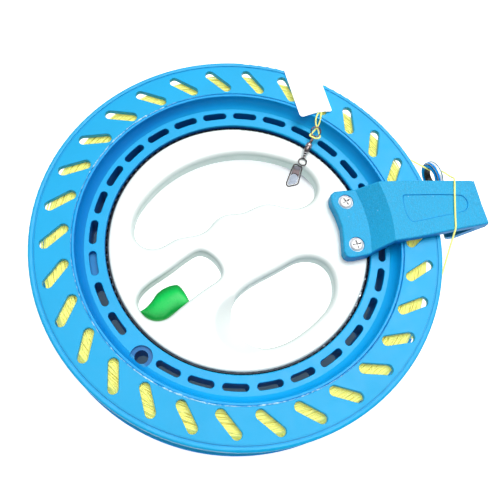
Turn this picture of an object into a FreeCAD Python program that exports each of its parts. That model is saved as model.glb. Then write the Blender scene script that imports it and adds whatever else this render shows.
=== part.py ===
import FreeCAD, Part
import math
import os
from FreeCAD import Vector as V

os.makedirs("parts", exist_ok=True)

# Kite line winder, millimetres. The origin is on the spin axis in the middle
# plane of the grip plate, +Z points out of the front face and +X towards the
# guide arm's side.

# ---- wheel -----------------------------------------------------------------
RIM_R = 110.0            # outer radius of both flanges
FLANGE_IN = 88.5         # inner radius of the flange rings
FLANGE_TOP = 14.25       # front face of the front flange
FLANGE_T = 2.8           # flange plate thickness
BASE_Z = -20.75          # rear face, the face that the winder lies on
HUB_TOP = 6.45           # front face of the hub's slotted ring
HUB_BORE = 72.15         # bore of the hub's front lip
SEAT_R = 75.75           # bearing seat in the hub
HUB_REAR = -9.55         # rear face of the hub's slotted ring
WALL_IN, WALL_OUT = 86.0, 88.45   # spool wall
FLANGE_SLOTS = 30        # leaning slots in each flange
SLOT_W, SLOT_CAP, SLOT_R, SLOT_LEAN = 5.3, 12.3, 97.2, 43.0
SLOT_A0 = 28.03
HUB_SLOTS, HUB_SLOT_A0 = 28, 38.64
HUB_SLOT_R, HUB_SLOT_W, HUB_SLOT_HALF = 78.55, 3.8, 3.54
KNOB_XY = (-47.8, -65.2) # seat of a crank knob
KNOB_R, KNOB_CB_R = 3.5, 5.75
PACK_EDGE_R, PACK_MID_R = 102.0, 104.6

# ---- bearing ---------------------------------------------------------------
BALL_N, BALL_R, BALL_PR, BALL_Z = 106, 2.0, 72.8, 1.0
GROOVE_R = 2.2

# ---- grip ------------------------------------------------------------------
GRIP_R, GRIP_SEAT_R = 70.5, 69.35
GRIP_H = 5.25            # half thickness of the grip plate
SKIN = 2.4               # wall thickness of the shells
SPLIT_Z = 1.0            # plane where the shells meet
CAV_R = 66.8

# ---- arm and guide ring ----------------------------------------------------
ARM_ANGLE = 12.1
RING_ANGLE, RING_R, RING_Z = 25.0, 127.2, -3.25
LINE_D = 0.9

# ---- brake lever -----------------------------------------------------------
PIVOT = (-39.8, -49.2)
PIN_R = 1.25

CRES = [(-57.82, 4.97), (-56.71, 12.70), (-52.68, 21.30), (-45.65, 30.92),
        (-37.29, 39.13), (-27.68, 45.77), (-17.00, 50.75), (-5.77, 53.83),
        (5.52, 54.88), (16.86, 53.83), (29.39, 50.73), (36.33, 47.19),
        (40.95, 41.89), (42.71, 36.18), (41.37, 30.64), (37.24, 25.88),
        (31.57, 23.39), (23.72, 23.74), (14.05, 24.75), (8.05, 22.45),
        (0.20, 18.30), (-9.07, 16.28), (-13.77, 13.01), (-19.53, 5.83),
        (-25.13, 2.96), (-34.50, 0.28), (-41.97, -4.70), (-47.46, -6.36),
        (-52.92, -5.05), (-56.40, -1.37)]
THUMB = [(-2.68, -35.30), (-0.40, -30.53), (3.92, -25.84), (11.43, -20.46),
         (23.84, -12.67), (31.19, -8.10), (36.53, -6.61), (41.85, -6.84),
         (46.22, -8.69), (49.36, -12.03), (51.38, -17.01), (51.93, -22.98),
         (50.83, -28.76), (47.98, -34.39), (42.89, -40.51), (35.39, -47.44),
         (28.21, -52.52), (21.19, -55.90), (15.26, -57.27), (10.04, -56.77),
         (4.97, -54.49), (0.76, -50.74), (-2.04, -46.02), (-3.21, -40.64)]
SLOT = [(-52.16, -35.23), (-51.06, -31.92), (-48.11, -28.01), (-42.43, -23.07),
        (-34.01, -15.96), (-25.48, -8.52), (-22.27, -6.78), (-19.29, -6.83),
        (-15.80, -8.53), (-12.19, -11.84), (-10.04, -15.35), (-9.50, -18.55),
        (-10.51, -21.07), (-15.16, -25.30), (-25.82, -34.32), (-31.87, -40.13),
        (-36.17, -44.13), (-39.68, -45.69), (-43.36, -45.85), (-46.77, -44.63),
        (-49.74, -42.03), (-51.69, -38.59)]


# ---- helpers ---------------------------------------------------------------
def polar(r, deg, z=0.0):
    a = math.radians(deg)
    return V(r * math.cos(a), r * math.sin(a), z)


def rev(items, a0=0.0, a=360.0):
    """Solid of revolution about Z; items are (r, z) or (r, z, rm, zm) where
    rm, zm is the middle point of an arc that ends at (r, z)."""
    pts = [V(i[0], 0, i[1]) for i in items]
    edges = []
    for k in range(len(items)):
        nxt = items[(k + 1) % len(items)]
        p, q = pts[k], pts[(k + 1) % len(items)]
        if len(nxt) == 4:
            edges.append(Part.Arc(p, V(nxt[2], 0, nxt[3]), q).toShape())
        else:
            edges.append(Part.LineSegment(p, q).toShape())
    face = Part.Face(Part.Wire(edges))
    if a0:
        face.rotate(V(0, 0, 0), V(0, 0, 1), a0)
    return face.revolve(V(0, 0, 0), V(0, 0, 1), a)


def ring(r0, r1, z0, z1):
    return rev([(r0, z0), (r1, z0), (r1, z1), (r0, z1)])


def cyl(r, z0, z1, x=0.0, y=0.0):
    return Part.makeCylinder(r, z1 - z0, V(x, y, z0))


def sector(r0, r1, z0, z1, a0, a1):
    return rev([(r0, z0), (r1, z0), (r1, z1), (r0, z1)], a0, a1 - a0)


def spline(pts):
    c = Part.BSplineCurve()
    c.interpolate(Points=[V(x, y, 0) for x, y in pts], PeriodicFlag=True)
    return c


def offset_pts(pts, d, n=48):
    """Points at d outside a closed outline that runs clockwise."""
    c = spline(pts)
    a, b = c.FirstParameter, c.LastParameter
    out = []
    for k in range(n):
        u = a + (b - a) * k / n
        p = c.value(u)
        t = c.tangent(u)[0]
        out.append((p.x - t.y * d, p.y + t.x * d))
    return out


def prism(curve_or_pts, z0, z1):
    if isinstance(curve_or_pts, list):
        vs = [V(x, y, z0) for x, y in curve_or_pts]
        wire = Part.makePolygon(vs + [vs[0]])
    else:
        e = curve_or_pts.toShape()
        e.translate(V(0, 0, z0))
        wire = Part.Wire([e])
    return Part.Face(wire).extrude(V(0, 0, z1 - z0))


def one(shape):
    try:
        s = shape.copy().removeSplitter()
    except Exception:
        s = shape
    if not s.isValid() or abs(s.Volume - shape.Volume) > 1e-3 * abs(shape.Volume):
        s = shape
    sol = s.Solids
    if len(sol) == 1:
        return sol[0]
    return s


def save(name, shape):
    ok = shape.isValid()
    bb = shape.BoundBox
    print("%-20s solids %3d vol %10.1f valid %s  x %.1f..%.1f y %.1f..%.1f z %.2f..%.2f" % (
        name, len(shape.Solids), shape.Volume, ok, bb.XMin, bb.XMax, bb.YMin,
        bb.YMax, bb.ZMin, bb.ZMax))
    shape.exportStep("parts/%s.step" % name)


def fillet(shape, r, pick):
    for k in (1.0, 0.8, 0.6, 0.4):
        try:
            base = shape.copy()
            edges = [e for e in base.Edges if pick(e)]
            s = base.makeFillet(r * k, edges)
            if s.isValid() and s.Volume > 0:
                if k < 1.0:
                    print("   fillet reduced to", r * k)
                return s
        except Exception:
            pass
    print("   fillet left out, r", r, "edges", len(edges))
    return shape


def local(shape, origin, ex, ey, ez):
    m = FreeCAD.Matrix(ex.x, ey.x, ez.x, origin.x, ex.y, ey.y, ez.y, origin.y,
                       ex.z, ey.z, ez.z, origin.z, 0, 0, 0, 1)
    s = shape.copy()
    s.Placement = FreeCAD.Placement(m).multiply(s.Placement)
    return s


def path_wire(points, radii=None):
    """Straight runs joined by tangent arcs."""
    P = [V(*p) for p in points]
    edges, cur, info = [], P[0], []
    for k in range(1, len(P) - 1):
        a, b, c = P[k - 1], P[k], P[k + 1]
        d1 = (b - a).normalize()
        d2 = (c - b).normalize()
        ang = d1.getAngle(d2)
        shorter = min((b - a).Length, (c - b).Length)
        r = 0.45 * shorter / math.tan(ang / 2)
        if radii and radii[k] is not None:
            r = min(r, radii[k])
        t = r * math.tan(ang / 2)
        p1, p2 = b - d1 * t, b + d2 * t
        bis = (d2 - d1).normalize()
        mid = b + bis * (r / math.cos(ang / 2) - r)
        edges.append(Part.LineSegment(cur, p1).toShape())
        edges.append(Part.Arc(p1, mid, p2).toShape())
        info.append(round(r, 2))
        cur = p2
    edges.append(Part.LineSegment(cur, P[-1]).toShape())
    return Part.Wire(edges), info


def tube(name, points, d, radii=None):
    wire, info = path_wire(points, radii)
    p0 = V(*points[0])
    t0 = (V(*points[1]) - p0).normalize()
    prof = Part.Wire([Part.Circle(p0, t0, d / 2.0).toShape()])
    s = wire.makePipeShell([prof], True, True)
    area = math.pi * d * d / 4
    print("%-20s length %.1f mm, bend radii %s, volume ratio %.4f" % (
        name, wire.Length, info, s.Volume / (area * wire.Length)))
    return s


# ---- wheel hub -------------------------------------------------------------
hub = rev([(HUB_BORE, 3.65), (SEAT_R, 3.65), (SEAT_R, HUB_REAR), (82.6, HUB_REAR),
           (82.6, 2.0), (WALL_IN, 2.0), (WALL_IN, BASE_Z), (WALL_OUT, BASE_Z),
           (WALL_OUT, 13.8), (88.0, FLANGE_TOP), (87.4, FLANGE_TOP),
           (86.8, 13.65, 86.976, 14.074), (82.9, HUB_TOP, 85.75, 9.4),
           (72.75, HUB_TOP), (HUB_BORE, 5.85, 72.326, 6.274)])
ribs = []
for k in range(HUB_SLOTS // 2):
    b = Part.makeBox(3.8, 1.8, 2.2 - HUB_REAR, V(82.4, -0.9, HUB_REAR))
    b.rotate(V(0, 0, 0), V(0, 0, 1), HUB_SLOT_A0 + (2 * k + 0.5) * 360.0 / HUB_SLOTS)
    ribs.append(b)
hub = hub.fuse(ribs)
kx, ky = KNOB_XY
hub = hub.fuse(cyl(6.2, HUB_REAR, HUB_TOP, kx, ky))
hub = hub.cut(cyl(HUB_BORE, HUB_REAR - 1, HUB_TOP + 1))
hub = hub.cut(cyl(SEAT_R, HUB_REAR - 1, 3.65))
hub = hub.cut(cyl(KNOB_R, HUB_REAR - 1, HUB_TOP + 1, kx, ky))
hub = hub.cut(cyl(KNOB_CB_R, 4.95, HUB_TOP + 1.15, kx, ky))
cuts = []
rs0, rs1 = HUB_SLOT_R - HUB_SLOT_W / 2, HUB_SLOT_R + HUB_SLOT_W / 2


def bent_slot(ac, half, z0, z1):
    """Slot that follows a circle about the axis, with round ends."""
    cap = math.degrees((rs1 - rs0) / 2 / HUB_SLOT_R)
    e = [Part.Arc(polar(rs1, ac - half, z0), polar(rs1, ac, z0), polar(rs1, ac + half, z0)),
         Part.Arc(polar(rs1, ac + half, z0), polar(HUB_SLOT_R, ac + half + cap, z0),
                  polar(rs0, ac + half, z0)),
         Part.Arc(polar(rs0, ac + half, z0), polar(rs0, ac, z0), polar(rs0, ac - half, z0)),
         Part.Arc(polar(rs0, ac - half, z0), polar(HUB_SLOT_R, ac - half - cap, z0),
                  polar(rs1, ac - half, z0))]
    return Part.Face(Part.Wire([k.toShape() for k in e])).extrude(V(0, 0, z1 - z0))


for k in range(HUB_SLOTS):
    if k == 15:
        continue
    ac = HUB_SLOT_A0 + k * 360.0 / HUB_SLOTS
    z0 = HUB_TOP - 3.0 if k == 12 else HUB_REAR - 1
    cuts.append(bent_slot(ac, HUB_SLOT_HALF, z0, HUB_TOP + 1))
hub = hub.cut(cuts)


def on_top(z, rmin, rmax, shape_kind=None):
    def f(e):
        vs = e.Vertexes
        if not vs or any(abs(v.Point.z - z) > 0.01 for v in vs):
            return False
        bb = e.BoundBox
        if bb.ZLength > 0.01:
            return False
        m = e.valueAt((e.FirstParameter + e.LastParameter) / 2)
        r = math.hypot(m.x, m.y)
        return rmin < r < rmax
    return f


hub = one(hub)
ht = on_top(HUB_TOP, 74.0, 82.0)


def slot_edge(e):
    m = e.valueAt((e.FirstParameter + e.LastParameter) / 2)
    return ht(e) and math.hypot(m.x - kx, m.y - ky) > 6.5 and abs(m.z - HUB_TOP) < 0.01


hub = fillet(hub, 0.4, slot_edge)
save("wheel_hub", one(hub))


# ---- flanges ---------------------------------------------------------------
def slot_cutter(z0, z1):
    w = SLOT_W / 2.0
    h = SLOT_CAP / 2.0
    e = [Part.LineSegment(V(-h, -w, z0), V(h, -w, z0)), Part.Arc(V(h, -w, z0), V(h + w, 0, z0), V(h, w, z0)),
         Part.LineSegment(V(h, w, z0), V(-h, w, z0)), Part.Arc(V(-h, w, z0), V(-h - w, 0, z0), V(-h, -w, z0))]
    c = Part.Face(Part.Wire([k.toShape() for k in e])).extrude(V(0, 0, z1 - z0))
    out = []
    for k in range(FLANGE_SLOTS):
        a = SLOT_A0 + k * 360.0 / FLANGE_SLOTS
        s = c.copy()
        s.rotate(V(0, 0, 0), V(0, 0, 1), a + SLOT_LEAN)
        s.translate(polar(SLOT_R, a))
        out.append(s)
    return out


front = rev([(FLANGE_IN, 8.5), (90.2, 8.5), (90.2, 11.45), (107.3, 11.45),
             (107.3, 9.9), (109.6, 9.9), (RIM_R, 10.3), (RIM_R, 13.2),
             (108.75, 14.4, 109.68, 14.05), (107.6, 14.15), (107.45, 13.7), (107.0, 13.7),
             (106.85, 14.1), (106.25, 14.1), (106.2, FLANGE_TOP), (88.95, FLANGE_TOP),
             (FLANGE_IN, 13.8)])
front = front.cut(slot_cutter(10.0, 16.0))
front = one(front)
front = fillet(front, 0.45, on_top(FLANGE_TOP, 90.0, 105.5))
save("front_flange", one(front))

rear = rev([(FLANGE_IN, -15.0), (FLANGE_IN, BASE_Z), (109.4, BASE_Z), (RIM_R, -20.15),
            (RIM_R, -16.8), (109.6, -16.4), (107.3, -16.4), (107.3, -17.95),
            (90.2, -17.95), (90.2, -15.0)])
rear = one(rear.cut(slot_cutter(-22.0, -16.0)))
rear = fillet(rear, 0.45, on_top(BASE_Z, 90.0, 105.5))
save("rear_flange", one(rear))

pack = rev([(FLANGE_IN, -14.9), (90.3, -14.9), (90.3, -17.9), (PACK_EDGE_R, -17.9),
            (PACK_EDGE_R, 11.4, PACK_MID_R, -3.25), (90.3, 11.4), (90.3, 8.4),
            (FLANGE_IN, 8.4)])
save("line_pack", pack)

# ---- bearing ---------------------------------------------------------------
groove = Part.makeTorus(BALL_PR, GROOVE_R, V(0, 0, BALL_Z), V(0, 0, 1))
save("outer_race", one(ring(74.2, 75.7, -1.6, 3.6).cut(groove)))
save("inner_race_front", one(ring(69.4, 71.2, 1.02, 3.6).cut(groove)))
save("inner_race_rear", one(ring(69.4, 71.2, -1.6, 0.98).cut(groove)))
balls = [Part.makeSphere(BALL_R, polar(BALL_PR, k * 360.0 / BALL_N, BALL_Z))
         for k in range(BALL_N)]
save("bearing_balls", Part.makeCompound(balls))
save("bearing_retainer", rev([(72.2, -1.65), (72.2, -9.15), (72.6, HUB_REAR), (75.7, HUB_REAR),
                              (75.7, -1.65)]))

# ---- grip shells -----------------------------------------------------------
curves = {"CRES": spline(CRES), "THUMB": spline(THUMB), "SLOT": spline(SLOT)}
ca, sa = math.cos(math.radians(ARM_ANGLE)), math.sin(math.radians(ARM_ANGLE))


def uv(u, v):
    return (u * ca - v * sa, u * sa + v * ca)


ARM_SCREWS = [uv(61.7, 12.8), uv(61.7, -12.8)]
GRIP_SCREWS = [tuple(polar(62.3, 100.0))[:2], tuple(polar(63.6, 175.0))[:2], (54.5, 12.6),
               tuple(polar(63.2, 259.5))[:2], tuple(polar(64.4, 321.0))[:2], (7.0, -1.0)]

# bay of the brake lever under the lip on the rim side of the slot
BAY = [(-53.6, -37.6), tuple(polar(66.8, 218.5))[:2], tuple(polar(66.8, 222.0))[:2],
       tuple(polar(66.8, 226.0))[:2], tuple(polar(66.8, 230.0))[:2],
       tuple(polar(66.8, 234.0))[:2], tuple(polar(66.8, 238.0))[:2],
       tuple(polar(66.8, 242.0))[:2], tuple(polar(66.8, 246.0))[:2],
       tuple(polar(66.8, 250.0))[:2], (-19.0, -52.0), (-19.0, -41.0), (-18.5, -30.5),
       (-14.0, -25.5), (-20.0, -22.0), (-40.0, -30.0)]


def walls(z0, z1):
    keep = [prism(spline(offset_pts(p, SKIN)), z0, z1) for p in (CRES, THUMB, SLOT)]
    keep.append(cyl(20.3, z0, z1, 4.5, -45.0))
    keep += [cyl(5.2, z0, z1, x, y) for x, y in ARM_SCREWS]
    keep += [cyl(2.9, z0, z1, x, y) for x, y in GRIP_SCREWS]
    return keep


def cavity(z0, z1):
    c = cyl(CAV_R, z0, z1)
    c = c.cut(walls(z0, z1))
    bay = prism(BAY, z0, z1).common(cyl(CAV_R, z0, z1))
    for x, y in GRIP_SCREWS:
        bay = bay.cut(cyl(2.9, z0, z1, x, y))
    bay = bay.cut(cyl(20.3, z0, z1, 4.5, -45.0))
    bay = bay.cut(prism(spline(offset_pts(THUMB, SKIN)), z0, z1))
    return c.fuse(bay)


def hole_edges(z):
    def f(e):
        bb = e.BoundBox
        if bb.ZLength > 0.01 or abs(bb.ZMin - z) > 0.01:
            return False
        return e.Curve.TypeId == "Part::GeomBSplineCurve"
    return f


def near(curve_name):
    c = curves[curve_name].toShape()

    def f(e):
        m = e.valueAt((e.FirstParameter + e.LastParameter) / 2)
        return c.distToShape(Part.Vertex(V(m.x, m.y, 0)))[0] < 0.05
    return f


gf = rev([(0, SPLIT_Z), (GRIP_SEAT_R, SPLIT_Z), (GRIP_SEAT_R, 3.65), (GRIP_R, 3.65),
          (GRIP_R, 4.15), (69.4, GRIP_H, 70.178, 4.928), (0, GRIP_H)])
for n in curves:
    gf = gf.cut(prism(curves[n], SPLIT_Z - 1, GRIP_H + 1))
gf = one(gf)
he = hole_edges(GRIP_H)
nc, nt, ns = near("CRES"), near("THUMB"), near("SLOT")
gf = fillet(gf, 3.0, lambda e: he(e) and nc(e))
gf = fillet(gf, 3.0, lambda e: he(e) and nt(e))
gf = fillet(gf, 2.2, lambda e: he(e) and ns(e))
# thumb rest: a dished scoop at the left end of the thumb hole
sc = Part.BSplineCurve()
sc.interpolate(Points=[V(0, 0, -0.6), V(8.0, 0, 1.0), V(12.6, 0, 3.05), V(15.6, 0, 4.6), V(18.4, 0, GRIP_H)],
               InitialTangent=V(1, 0, 0), FinalTangent=V(1, 0, 0))
scw = Part.Wire([sc.toShape(), Part.LineSegment(V(18.4, 0, GRIP_H), V(18.4, 0, 8)).toShape(),
                 Part.LineSegment(V(18.4, 0, 8), V(0, 0, 8)).toShape(),
                 Part.LineSegment(V(0, 0, 8), V(0, 0, -0.6)).toShape()])
scoop = Part.Face(scw).revolve(V(0, 0, 0), V(0, 0, 1), 360)
scoop.translate(V(4.5, -45.0, 0))
gf = gf.cut(scoop)
gf = gf.cut(cavity(SPLIT_Z - 1, GRIP_H - SKIN))
for x, y in ARM_SCREWS:
    gf = gf.cut(cyl(2.1, 0, 6, x, y))
for x, y in GRIP_SCREWS:
    gf = gf.cut(cyl(1.22, 0, 3.3, x, y))
gf = gf.cut(cyl(PIN_R + 0.01, 0, 4.22, *PIVOT))
save("grip_front", one(gf))

gr = rev([(0, -GRIP_H), (69.4, -GRIP_H), (GRIP_R, -4.15, 70.178, -4.928), (GRIP_R, -1.65),
          (GRIP_SEAT_R, -1.65), (GRIP_SEAT_R, SPLIT_Z), (0, SPLIT_Z)])
for n in curves:
    gr = gr.cut(prism(curves[n], -GRIP_H - 1, SPLIT_Z + 1))
gr = one(gr)
he2 = hole_edges(-GRIP_H)
gr = fillet(gr, 3.0, lambda e: he2(e) and nc(e))
gr = fillet(gr, 3.0, lambda e: he2(e) and nt(e))
gr = fillet(gr, 2.2, lambda e: he2(e) and ns(e))
gr = gr.cut(cavity(-GRIP_H + SKIN, SPLIT_Z + 1))
NOTCH = (238.3, 248.4)
gr = gr.cut(sector(61.0, 71.5, -4.65, -1.6, *NOTCH))
for x, y in ARM_SCREWS:
    gr = gr.cut(cyl(2.1, -6, 2, x, y))
    hexp = Part.makePolygon([V(x + 4.1 * math.cos(math.radians(60 * k + ARM_ANGLE)),
                               y + 4.1 * math.sin(math.radians(60 * k + ARM_ANGLE)), -6)
                             for k in range(7)])
    gr = gr.cut(Part.Face(hexp).extrude(V(0, 0, 6 - 1.75)))
for x, y in GRIP_SCREWS:
    gr = gr.cut(cyl(1.3, -6, 2, x, y))
    gr = gr.cut(cyl(2.75, -6, -3.2, x, y))
gr = gr.cut(cyl(PIN_R + 0.01, -4.22, 2, *PIVOT))
save("grip_rear", one(gr))


# ---- fasteners -------------------------------------------------------------
def phillips(shape, x, y, ztop, size, depth, up=1):
    w = size * 0.24
    a = Part.makeBox(size, w, depth + 1, V(x - size / 2, y - w / 2, 0))
    b = Part.makeBox(w, size, depth + 1, V(x - w / 2, y - size / 2, 0))
    c = a.fuse(b)
    c.translate(V(0, 0, ztop - depth if up > 0 else ztop - 1))
    return shape.cut(c)


def pan(x, y, z0, r, h, up=1):
    s = up
    p = rev([(0, 0), (r, 0), (r, 0.35 * h), (0.55 * r, 0.92 * h, 0.88 * r, 0.72 * h), (0, h)])
    if up < 0:
        p.rotate(V(0, 0, 0), V(1, 0, 0), 180)
    p.translate(V(x, y, z0))
    return p


gs = []
for x, y in GRIP_SCREWS:
    h = pan(x, y, -3.2, 2.5, 1.7, -1)
    h = phillips(h, x, y, -4.9, 2.8, 1.1, -1)
    h = h.fuse(cyl(1.2, -3.3, 3.1, x, y))
    gs.append(one(h))
save("grip_screws", Part.makeCompound(gs))

ARM_CB_Z = 9.75
asc, anu = [], []
for i, (x, y) in enumerate(ARM_SCREWS):
    h = pan(x, y, ARM_CB_Z, 3.8, 2.4)
    w = 1.1
    cross = Part.makeBox(4.6, w, 3, V(-2.3, -w / 2, ARM_CB_Z + 0.9)).fuse(
        Part.makeBox(w, 4.6, 3, V(-w / 2, -2.3, ARM_CB_Z + 0.9)))
    cross.rotate(V(0, 0, 0), V(0, 0, 1), 38 if i == 0 else 17)
    cross.translate(V(x, y, 0))
    h = h.cut(cross)
    h = h.fuse(cyl(2.0, -4.9, ARM_CB_Z + 0.1, x, y))
    asc.append(one(h))
    hp = Part.makePolygon([V(x + 4.0 * math.cos(math.radians(60 * k + ARM_ANGLE)),
                             y + 4.0 * math.sin(math.radians(60 * k + ARM_ANGLE)), -5.0)
                           for k in range(7)])
    n = Part.Face(hp).extrude(V(0, 0, 3.2)).cut(cyl(2.02, -6, 0, x, y))
    anu.append(one(n))
save("arm_screws", Part.makeCompound(asc))
save("arm_nuts", Part.makeCompound(anu))

# ---- brake -----------------------------------------------------------------
S_EDGE = [(-50.45, -40.7), (-48.15, -38.8), (-46.15, -36.3), (-44.65, -34.0), (-43.45, -31.6),
          (-41.95, -29.7), (-39.65, -27.8), (-36.55, -26.1), (-33.45, -25.2), (-31.95, -25.4),
          (-30.45, -26.6), (-28.85, -28.4), (-26.95, -31.3), (-25.45, -34.1)]


def open_spline(pts, z):
    c = Part.BSplineCurve()
    c.interpolate(Points=[V(x, y, z) for x, y in pts])
    return c.toShape()


def plan(spl, poly, z0, z1):
    e = [open_spline(spl, z0)]
    pts = [spl[-1]] + poly + [spl[0]]
    for a, b in zip(pts, pts[1:]):
        e.append(Part.LineSegment(V(a[0], a[1], z0), V(b[0], b[1], z0)).toShape())
    return Part.Face(Part.Wire(e)).extrude(V(0, 0, z1 - z0))


px, py = PIVOT
lev = plan(S_EDGE, [(-25.0, -35.5), (-26.2, -37.8), (-34.0, -45.3), (-36.8, -48.4),
                    (-42.4, -48.6), (-47.4, -44.7), (-50.8, -41.7)], -2.4, 2.35)
pad_s = ([(x + 0.12, y - 0.16) for x, y in S_EDGE[1:9]] + [(-32.02, -25.62), (-30.6, -26.76),
         (-29.02, -28.53), (-27.14, -31.4)])
dome = plan(pad_s, [(-28.1, -32.9), (-33.6, -38.2), (-37.7, -41.9), (-40.4, -43.1),
                    (-43.1, -43.2), (-45.8, -42.1), (-47.8, -40.3)], 1.0, 4.3)
dome = fillet(dome, 1.2, lambda e: e.BoundBox.ZMin > 4.29)
lev = lev.fuse(dome)
lev = lev.fuse(cyl(3.2, -2.4, 0.4, px, py))
lev = lev.fuse(sector(61.6, 65.2, -2.4, 0.4, 231.0, 246.5))
lev = lev.fuse(sector(62.2, 69.3, -4.25, -1.95, 240.0, 246.5))
lev = lev.cut(cyl(3.7, 0.4, 3.0, px, py))
lev = lev.cut(cyl(PIN_R + 0.05, -5, 5, px, py))
save("brake_lever", one(lev))
save("brake_pad", sector(69.3, 70.5, -4.35, -1.95, 239.7, 246.8))
save("brake_pivot_pin", cyl(PIN_R, -4.2, 4.2, px, py))

# return spring: a wire clip round the pin with two feet that point outwards
wire_r, mean_r, foot_r, sz = 0.3, 2.3, 0.6, 0.95


def clip_pt(r, deg, side=0.0):
    a = math.radians(deg)
    return V(px + r * math.cos(a) - side * math.sin(a), py + r * math.sin(a) + side * math.cos(a), sz)


A0, A1 = 40.0, 320.0
h = foot_r * math.sqrt(0.5)
path = [Part.LineSegment(clip_pt(3.4, A0, -foot_r), clip_pt(mean_r + foot_r, A0, -foot_r)).toShape(),
        Part.Arc(clip_pt(mean_r + foot_r, A0, -foot_r), clip_pt(mean_r + foot_r - h, A0, -h), clip_pt(mean_r, A0)).toShape(),
        Part.Arc(clip_pt(mean_r, A0), clip_pt(mean_r, 180), clip_pt(mean_r, A1)).toShape(),
        Part.Arc(clip_pt(mean_r, A1), clip_pt(mean_r + foot_r - h, A1, h), clip_pt(mean_r + foot_r, A1, foot_r)).toShape(),
        Part.LineSegment(clip_pt(mean_r + foot_r, A1, foot_r), clip_pt(3.4, A1, foot_r)).toShape()]
st = clip_pt(3.4, A0, -foot_r)
tg = path[0].tangentAt(path[0].FirstParameter)
prf = Part.Wire([Part.Circle(st, tg, wire_r).toShape()])
spr = Part.Wire(path).makePipeShell([prf], True, True)
save("brake_spring", one(spr))

# ---- guide arm -------------------------------------------------------------
PLATE_TOP, PLATE_BOT = 20.45, 16.65
prof = rev([(45, GRIP_H), (70.3, GRIP_H), (70.5, 7.95), (73, 7.95), (82, PLATE_BOT),
            (142, PLATE_BOT), (142, PLATE_TOP), (81.7, PLATE_TOP), (71, 11.75), (45, 11.75)],
           ARM_ANGLE - 30, 60)
OUT = [(53.5, 15.4), (53.5, 13.3), (55.2, 5.6), (55.9, -1.5), (55.0, -8.3), (53.6, -15.9),
       (54.3, -18.4), (56.0, -19.8), (59.2, -20.1), (66.7, -19.6), (72, -18.2), (81.4, -16.8),
       (92.5, -16.6), (111, -15.5), (134.9, -14.4), (135.6, -13.6), (134.4, 11.6),
       (133.6, 12.5), (120, 14.2), (100, 16.9), (82, 18.9), (72, 19.5), (66.9, 19.6),
       (56.8, 20.0), (54.4, 18.6)]
arm = prof.common(prism([uv(a, b) for a, b in OUT], 4, 22))
arm = one(arm)


def arm_top(e):
    """Edges along the outline at the top of foot, band and plate."""
    a_, b_ = e.FirstParameter, e.LastParameter
    if e.BoundBox.ZLength > 1e-3 and abs(e.tangentAt((a_ + b_) / 2).z) > 0.95:
        return False
    m = e.valueAt((a_ + b_) / 2)
    r = math.hypot(m.x, m.y)
    top = 11.75 if r < 71 else min(PLATE_TOP, 11.75 + (r - 71) * (PLATE_TOP - 11.75) / 10.7)
    if abs(m.z - top) > 0.05:
        return False
    u, v = m.x * ca + m.y * sa, -m.x * sa + m.y * ca
    for (u0, v0), (u1, v1) in zip(OUT, OUT[1:] + OUT[:1]):
        L = math.hypot(u1 - u0, v1 - v0)
        t = ((u - u0) * (u1 - u0) + (v - v0) * (v1 - v0)) / L
        n = abs((u - u0) * (v1 - v0) - (v - v0) * (u1 - u0)) / L
        if n < 0.02 and -0.01 < t < L + 0.01:
            return True
    return False


arm_f = fillet(arm, 1.3, arm_top)
hook_pts = [(135.5, 19.0), (135.5, 15.2), (122.9, 2.95), (121.0, 2.3), (118.4, 2.5), (116.2, 3.7), (115.2, 5.4),
            (116.0, 6.4), (118.0, 5.9), (120.0, 6.6), (130.6, PLATE_BOT), (130.6, 19.0)]
hk = Part.Face(Part.makePolygon([V(u, -14.3, z) for u, z in hook_pts + hook_pts[:1]]))
hk = hk.extrude(V(0, 26.6, 0))
hk.rotate(V(0, 0, 0), V(0, 0, 1), ARM_ANGLE)
arm = arm_f.fuse(hk)
er = polar(1.0, RING_ANGLE)
et = polar(1.0, RING_ANGLE + 90.0)
ez = V(0, 0, 1)
C = er * RING_R + V(0, 0, RING_Z)
# local frame of the ring: x tangential, y up, z along the ring's axis
ear = Part.makeBox(10.5, 19.9 + 5.0, 2.4, V(-25.0, -5.0, -3.2))
ear = fillet(ear, 2.5, lambda e: abs(e.BoundBox.ZLength - 2.4) < 0.01 and e.BoundBox.YMax < 0)
arm = arm.fuse(local(ear, C, et, ez, er))
arm = arm.cut(local(cyl(1.27, -5, 1, -20.0, 0), C, et, ez, er))
for x, y in ARM_SCREWS:
    arm = arm.cut([cyl(4.3, ARM_CB_Z, 14, x, y), cyl(2.1, 4, 12, x, y)])
PANEL = [(91.9, 8.8), (94.5, 8.6), (108, 7.0), (121.1, 5.1), (125.4, 3.6), (127.0, -0.2), (125.4, -4.0),
         (121.5, -5.6), (108, -6.5), (95.4, -7.4), (92.0, -6.8), (90.3, -1.7), (90.6, 5.0)]
arm = arm.cut(prism(spline([uv(a, b) for a, b in PANEL]), PLATE_TOP - 0.4, 22))
save("guide_arm", one(arm))

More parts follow.
